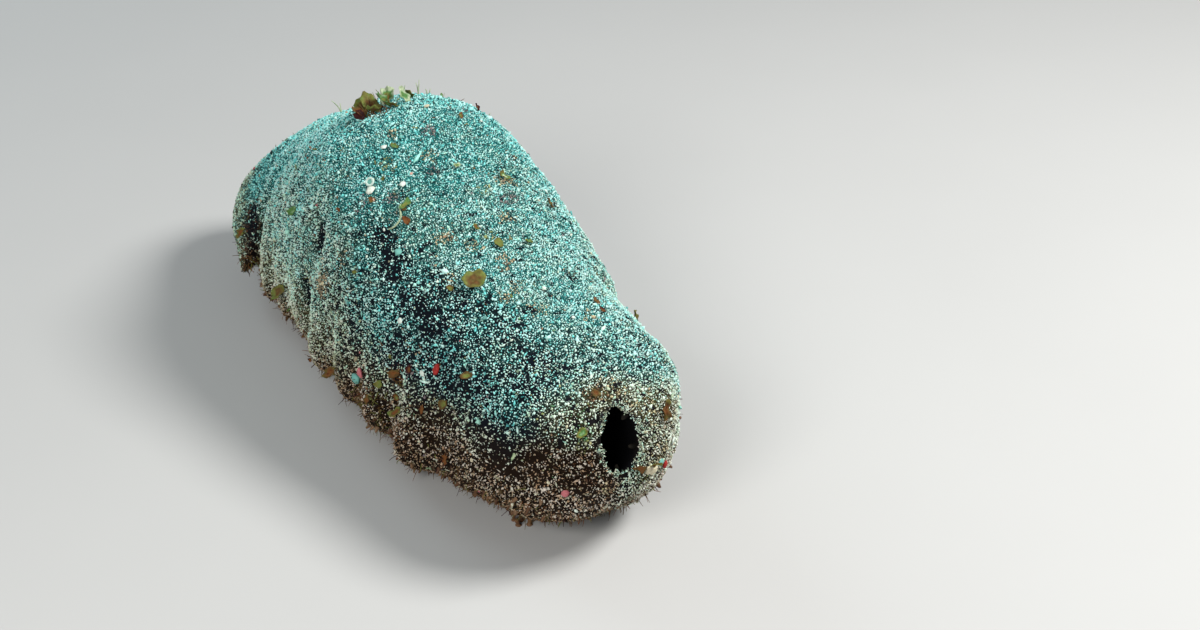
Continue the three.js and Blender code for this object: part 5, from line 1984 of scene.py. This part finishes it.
# Camera, as measured from the hind pole of the body: metres, and degrees.
CAMERA_FROM_POLE = (-0.2982, -0.4806, 0.4511)
CAMERA_AZIMUTH_DEG = -30.8
CAMERA_DIP_DEG = 31.281
CAMERA_ROLL_DEG = -0.3
SENSOR_MM = 36
CLIP = (0.01, 20)
LIGHTS_AIM = (0, 0, 0.05)
SKY_TINT = (0.85, 0.92, 1.0, 1)
FLOOR_ROUGHNESS = 0.85
FLOOR_HALF_SIZE = 4.0
WORLD_STRENGTH = 0.2


def area_light(name, place, size, power, tint):
    """Round soft light that faces the animal."""
    light = bpy.data.lights.new(name, "AREA")
    light.shape = "DISK"
    light.size = size
    light.energy = power
    light.color = tint
    obj = bpy.data.objects.new(name, light)
    obj.location = place
    obj.rotation_euler = (Vector(LIGHTS_AIM) - Vector(place)).to_track_quat("-Z", "Y").to_euler()
    bpy.context.scene.collection.objects.link(obj)


def floor_material():
    tint = settings().stage.floor
    material, tree, shader = shader_nodes("Floor")
    pale = mix_colour(tree, object_noise(tree, 6.0), colour(tint), colour(scaled(tint, 0.94)))
    tree.links.new(pale, shader.inputs["Base Color"])
    shader.inputs["Roughness"].default_value = FLOOR_ROUGHNESS
    return material


def build_floor():
    half = FLOOR_HALF_SIZE
    corners = [(-half, -half, 0), (half, -half, 0), (half, half, 0), (-half, half, 0)]
    floor = new_object("floor", corners, [(0, 1, 2, 3)])
    floor.data.materials.append(floor_material())


def build_lights():
    stage = settings().stage
    world = bpy.data.worlds.new("Studio")
    world.use_nodes = True
    background = world.node_tree.nodes["Background"]
    background.inputs["Color"].default_value = SKY_TINT
    background.inputs["Strength"].default_value = WORLD_STRENGTH
    bpy.context.scene.world = world
    bpy.context.scene.view_settings.view_transform = "Standard"
    area_light("key", (0.6, -0.45, 0.85), 0.35, stage.key_power, (1.0, 0.99, 0.97))
    area_light("fill", (-0.75, -0.55, 0.65), 0.5, stage.fill_power, (1.0, 0.98, 0.95))
    area_light("back", (-0.25, 1.0, 0.7), 0.6, stage.back_power, (0.8, 0.94, 1.0))


def build_camera():
    camera = bpy.data.cameras.new("camera")
    camera.lens = settings().stage.lens
    camera.sensor_width = SENSOR_MM
    camera.sensor_fit = "HORIZONTAL"
    camera.clip_start, camera.clip_end = CLIP
    obj = bpy.data.objects.new("camera", camera)
    azimuth, dip, roll = (math.radians(a) for a in (CAMERA_AZIMUTH_DEG, CAMERA_DIP_DEG, CAMERA_ROLL_DEG))
    obj.location = Vector(CAMERA_FROM_POLE) + Vector(ORIGIN * MM)
    look = Vector((-math.sin(azimuth) * math.cos(dip), math.cos(azimuth) * math.cos(dip), -math.sin(dip)))
    obj.rotation_mode = "QUATERNION"
    obj.rotation_quaternion = look.to_track_quat("-Z", "Y") @ Quaternion((0, 0, 1), roll)
    bpy.context.scene.collection.objects.link(obj)
    bpy.context.scene.camera = obj


class BUILD_OT_skin(bpy.types.Operator):
    """Builds the one skin that covers the body, the vent's chamber and the mouth's recess"""

    bl_idname = "sea_cucumber.skin"
    bl_label = "Skin"

    def execute(self, context):
        build_skin()
        return {"FINISHED"}


class BUILD_OT_sand(bpy.types.Operator):
    """Builds the coat of sand grains over the skin"""

    bl_idname = "sea_cucumber.sand"
    bl_label = "Sand coat"

    def execute(self, context):
        build_sand()
        return {"FINISHED"}


class BUILD_OT_feet(bpy.types.Operator):
    """Builds the tube feet of the sole and the papillae low on the flanks"""

    bl_idname = "sea_cucumber.feet"
    bl_label = "Tube feet and papillae"

    def execute(self, context):
        build_tube_feet()
        build_flank_papillae()
        return {"FINISHED"}


class BUILD_OT_vent(bpy.types.Operator):
    """Builds the vent's teeth and the sandy papillae on its rim"""

    bl_idname = "sea_cucumber.vent"
    bl_label = "Vent"

    def execute(self, context):
        build_vent_teeth()
        build_vent_papillae()
        return {"FINISHED"}


class BUILD_OT_mouth(bpy.types.Operator):
    """Builds the mouth's membrane and the ring of feeding tentacles"""

    bl_idname = "sea_cucumber.mouth"
    bl_label = "Mouth"

    def execute(self, context):
        build_mouth_membrane()
        build_tentacles()
        return {"FINISHED"}


class BUILD_OT_weed(bpy.types.Operator):
    """Builds the weed that the animal carries: leaves, a tuft, fuzz and threads"""

    bl_idname = "sea_cucumber.weed"
    bl_label = "Carried weed"

    def execute(self, context):
        build_weed_leaves()
        build_weed_tuft()
        build_weed_fuzz()
        build_threads()
        return {"FINISHED"}


class BUILD_OT_seashell(bpy.types.Operator):
    """Builds the bits of seashell and stone that the animal carries"""

    bl_idname = "sea_cucumber.seashell"
    bl_label = "Carried seashell"

    def execute(self, context):
        build_seashell_chips()
        build_seashell_ring()
        return {"FINISHED"}


class BUILD_OT_stage(bpy.types.Operator):
    """Sets up the floor, the lights and the camera"""

    bl_idname = "sea_cucumber.stage"
    bl_label = "Stage"

    def execute(self, context):
        build_floor()
        build_lights()
        build_camera()
        return {"FINISHED"}


BUILD_STEPS = (
    BUILD_OT_skin, BUILD_OT_sand, BUILD_OT_feet, BUILD_OT_vent, BUILD_OT_mouth, BUILD_OT_weed,
    BUILD_OT_seashell, BUILD_OT_stage,
)


class VIEW3D_PT_sea_cucumber(bpy.types.Panel):
    """Lists the building steps and their settings"""

    bl_label = "Sea Cucumber"
    bl_idname = "VIEW3D_PT_sea_cucumber"
    bl_space_type = "VIEW_3D"
    bl_region_type = "UI"
    bl_category = "Sea Cucumber"

    def draw(self, context):
        for step in BUILD_STEPS:
            self.layout.operator(step.bl_idname)
        for group in (settings().body, settings().coat, settings().stage):
            box = self.layout.box()
            for name in group.__annotations__:
                box.prop(group, name)


CLASSES = (
    BodySettings, CoatSettings, StageSettings, SeaCucumberSettings, *BUILD_STEPS, VIEW3D_PT_sea_cucumber,
)


def register():
    for cls in CLASSES:
        bpy.utils.register_class(cls)
    bpy.types.Scene.sea_cucumber = PointerProperty(type=SeaCucumberSettings)


def unregister():
    del bpy.types.Scene.sea_cucumber
    for cls in reversed(CLASSES):
        bpy.utils.unregister_class(cls)


def main():
    register()
    for step in BUILD_STEPS:
        group, name = step.bl_idname.split(".")
        getattr(getattr(bpy.ops, group), name)()
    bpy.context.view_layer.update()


if __name__ == "__main__":
    main()
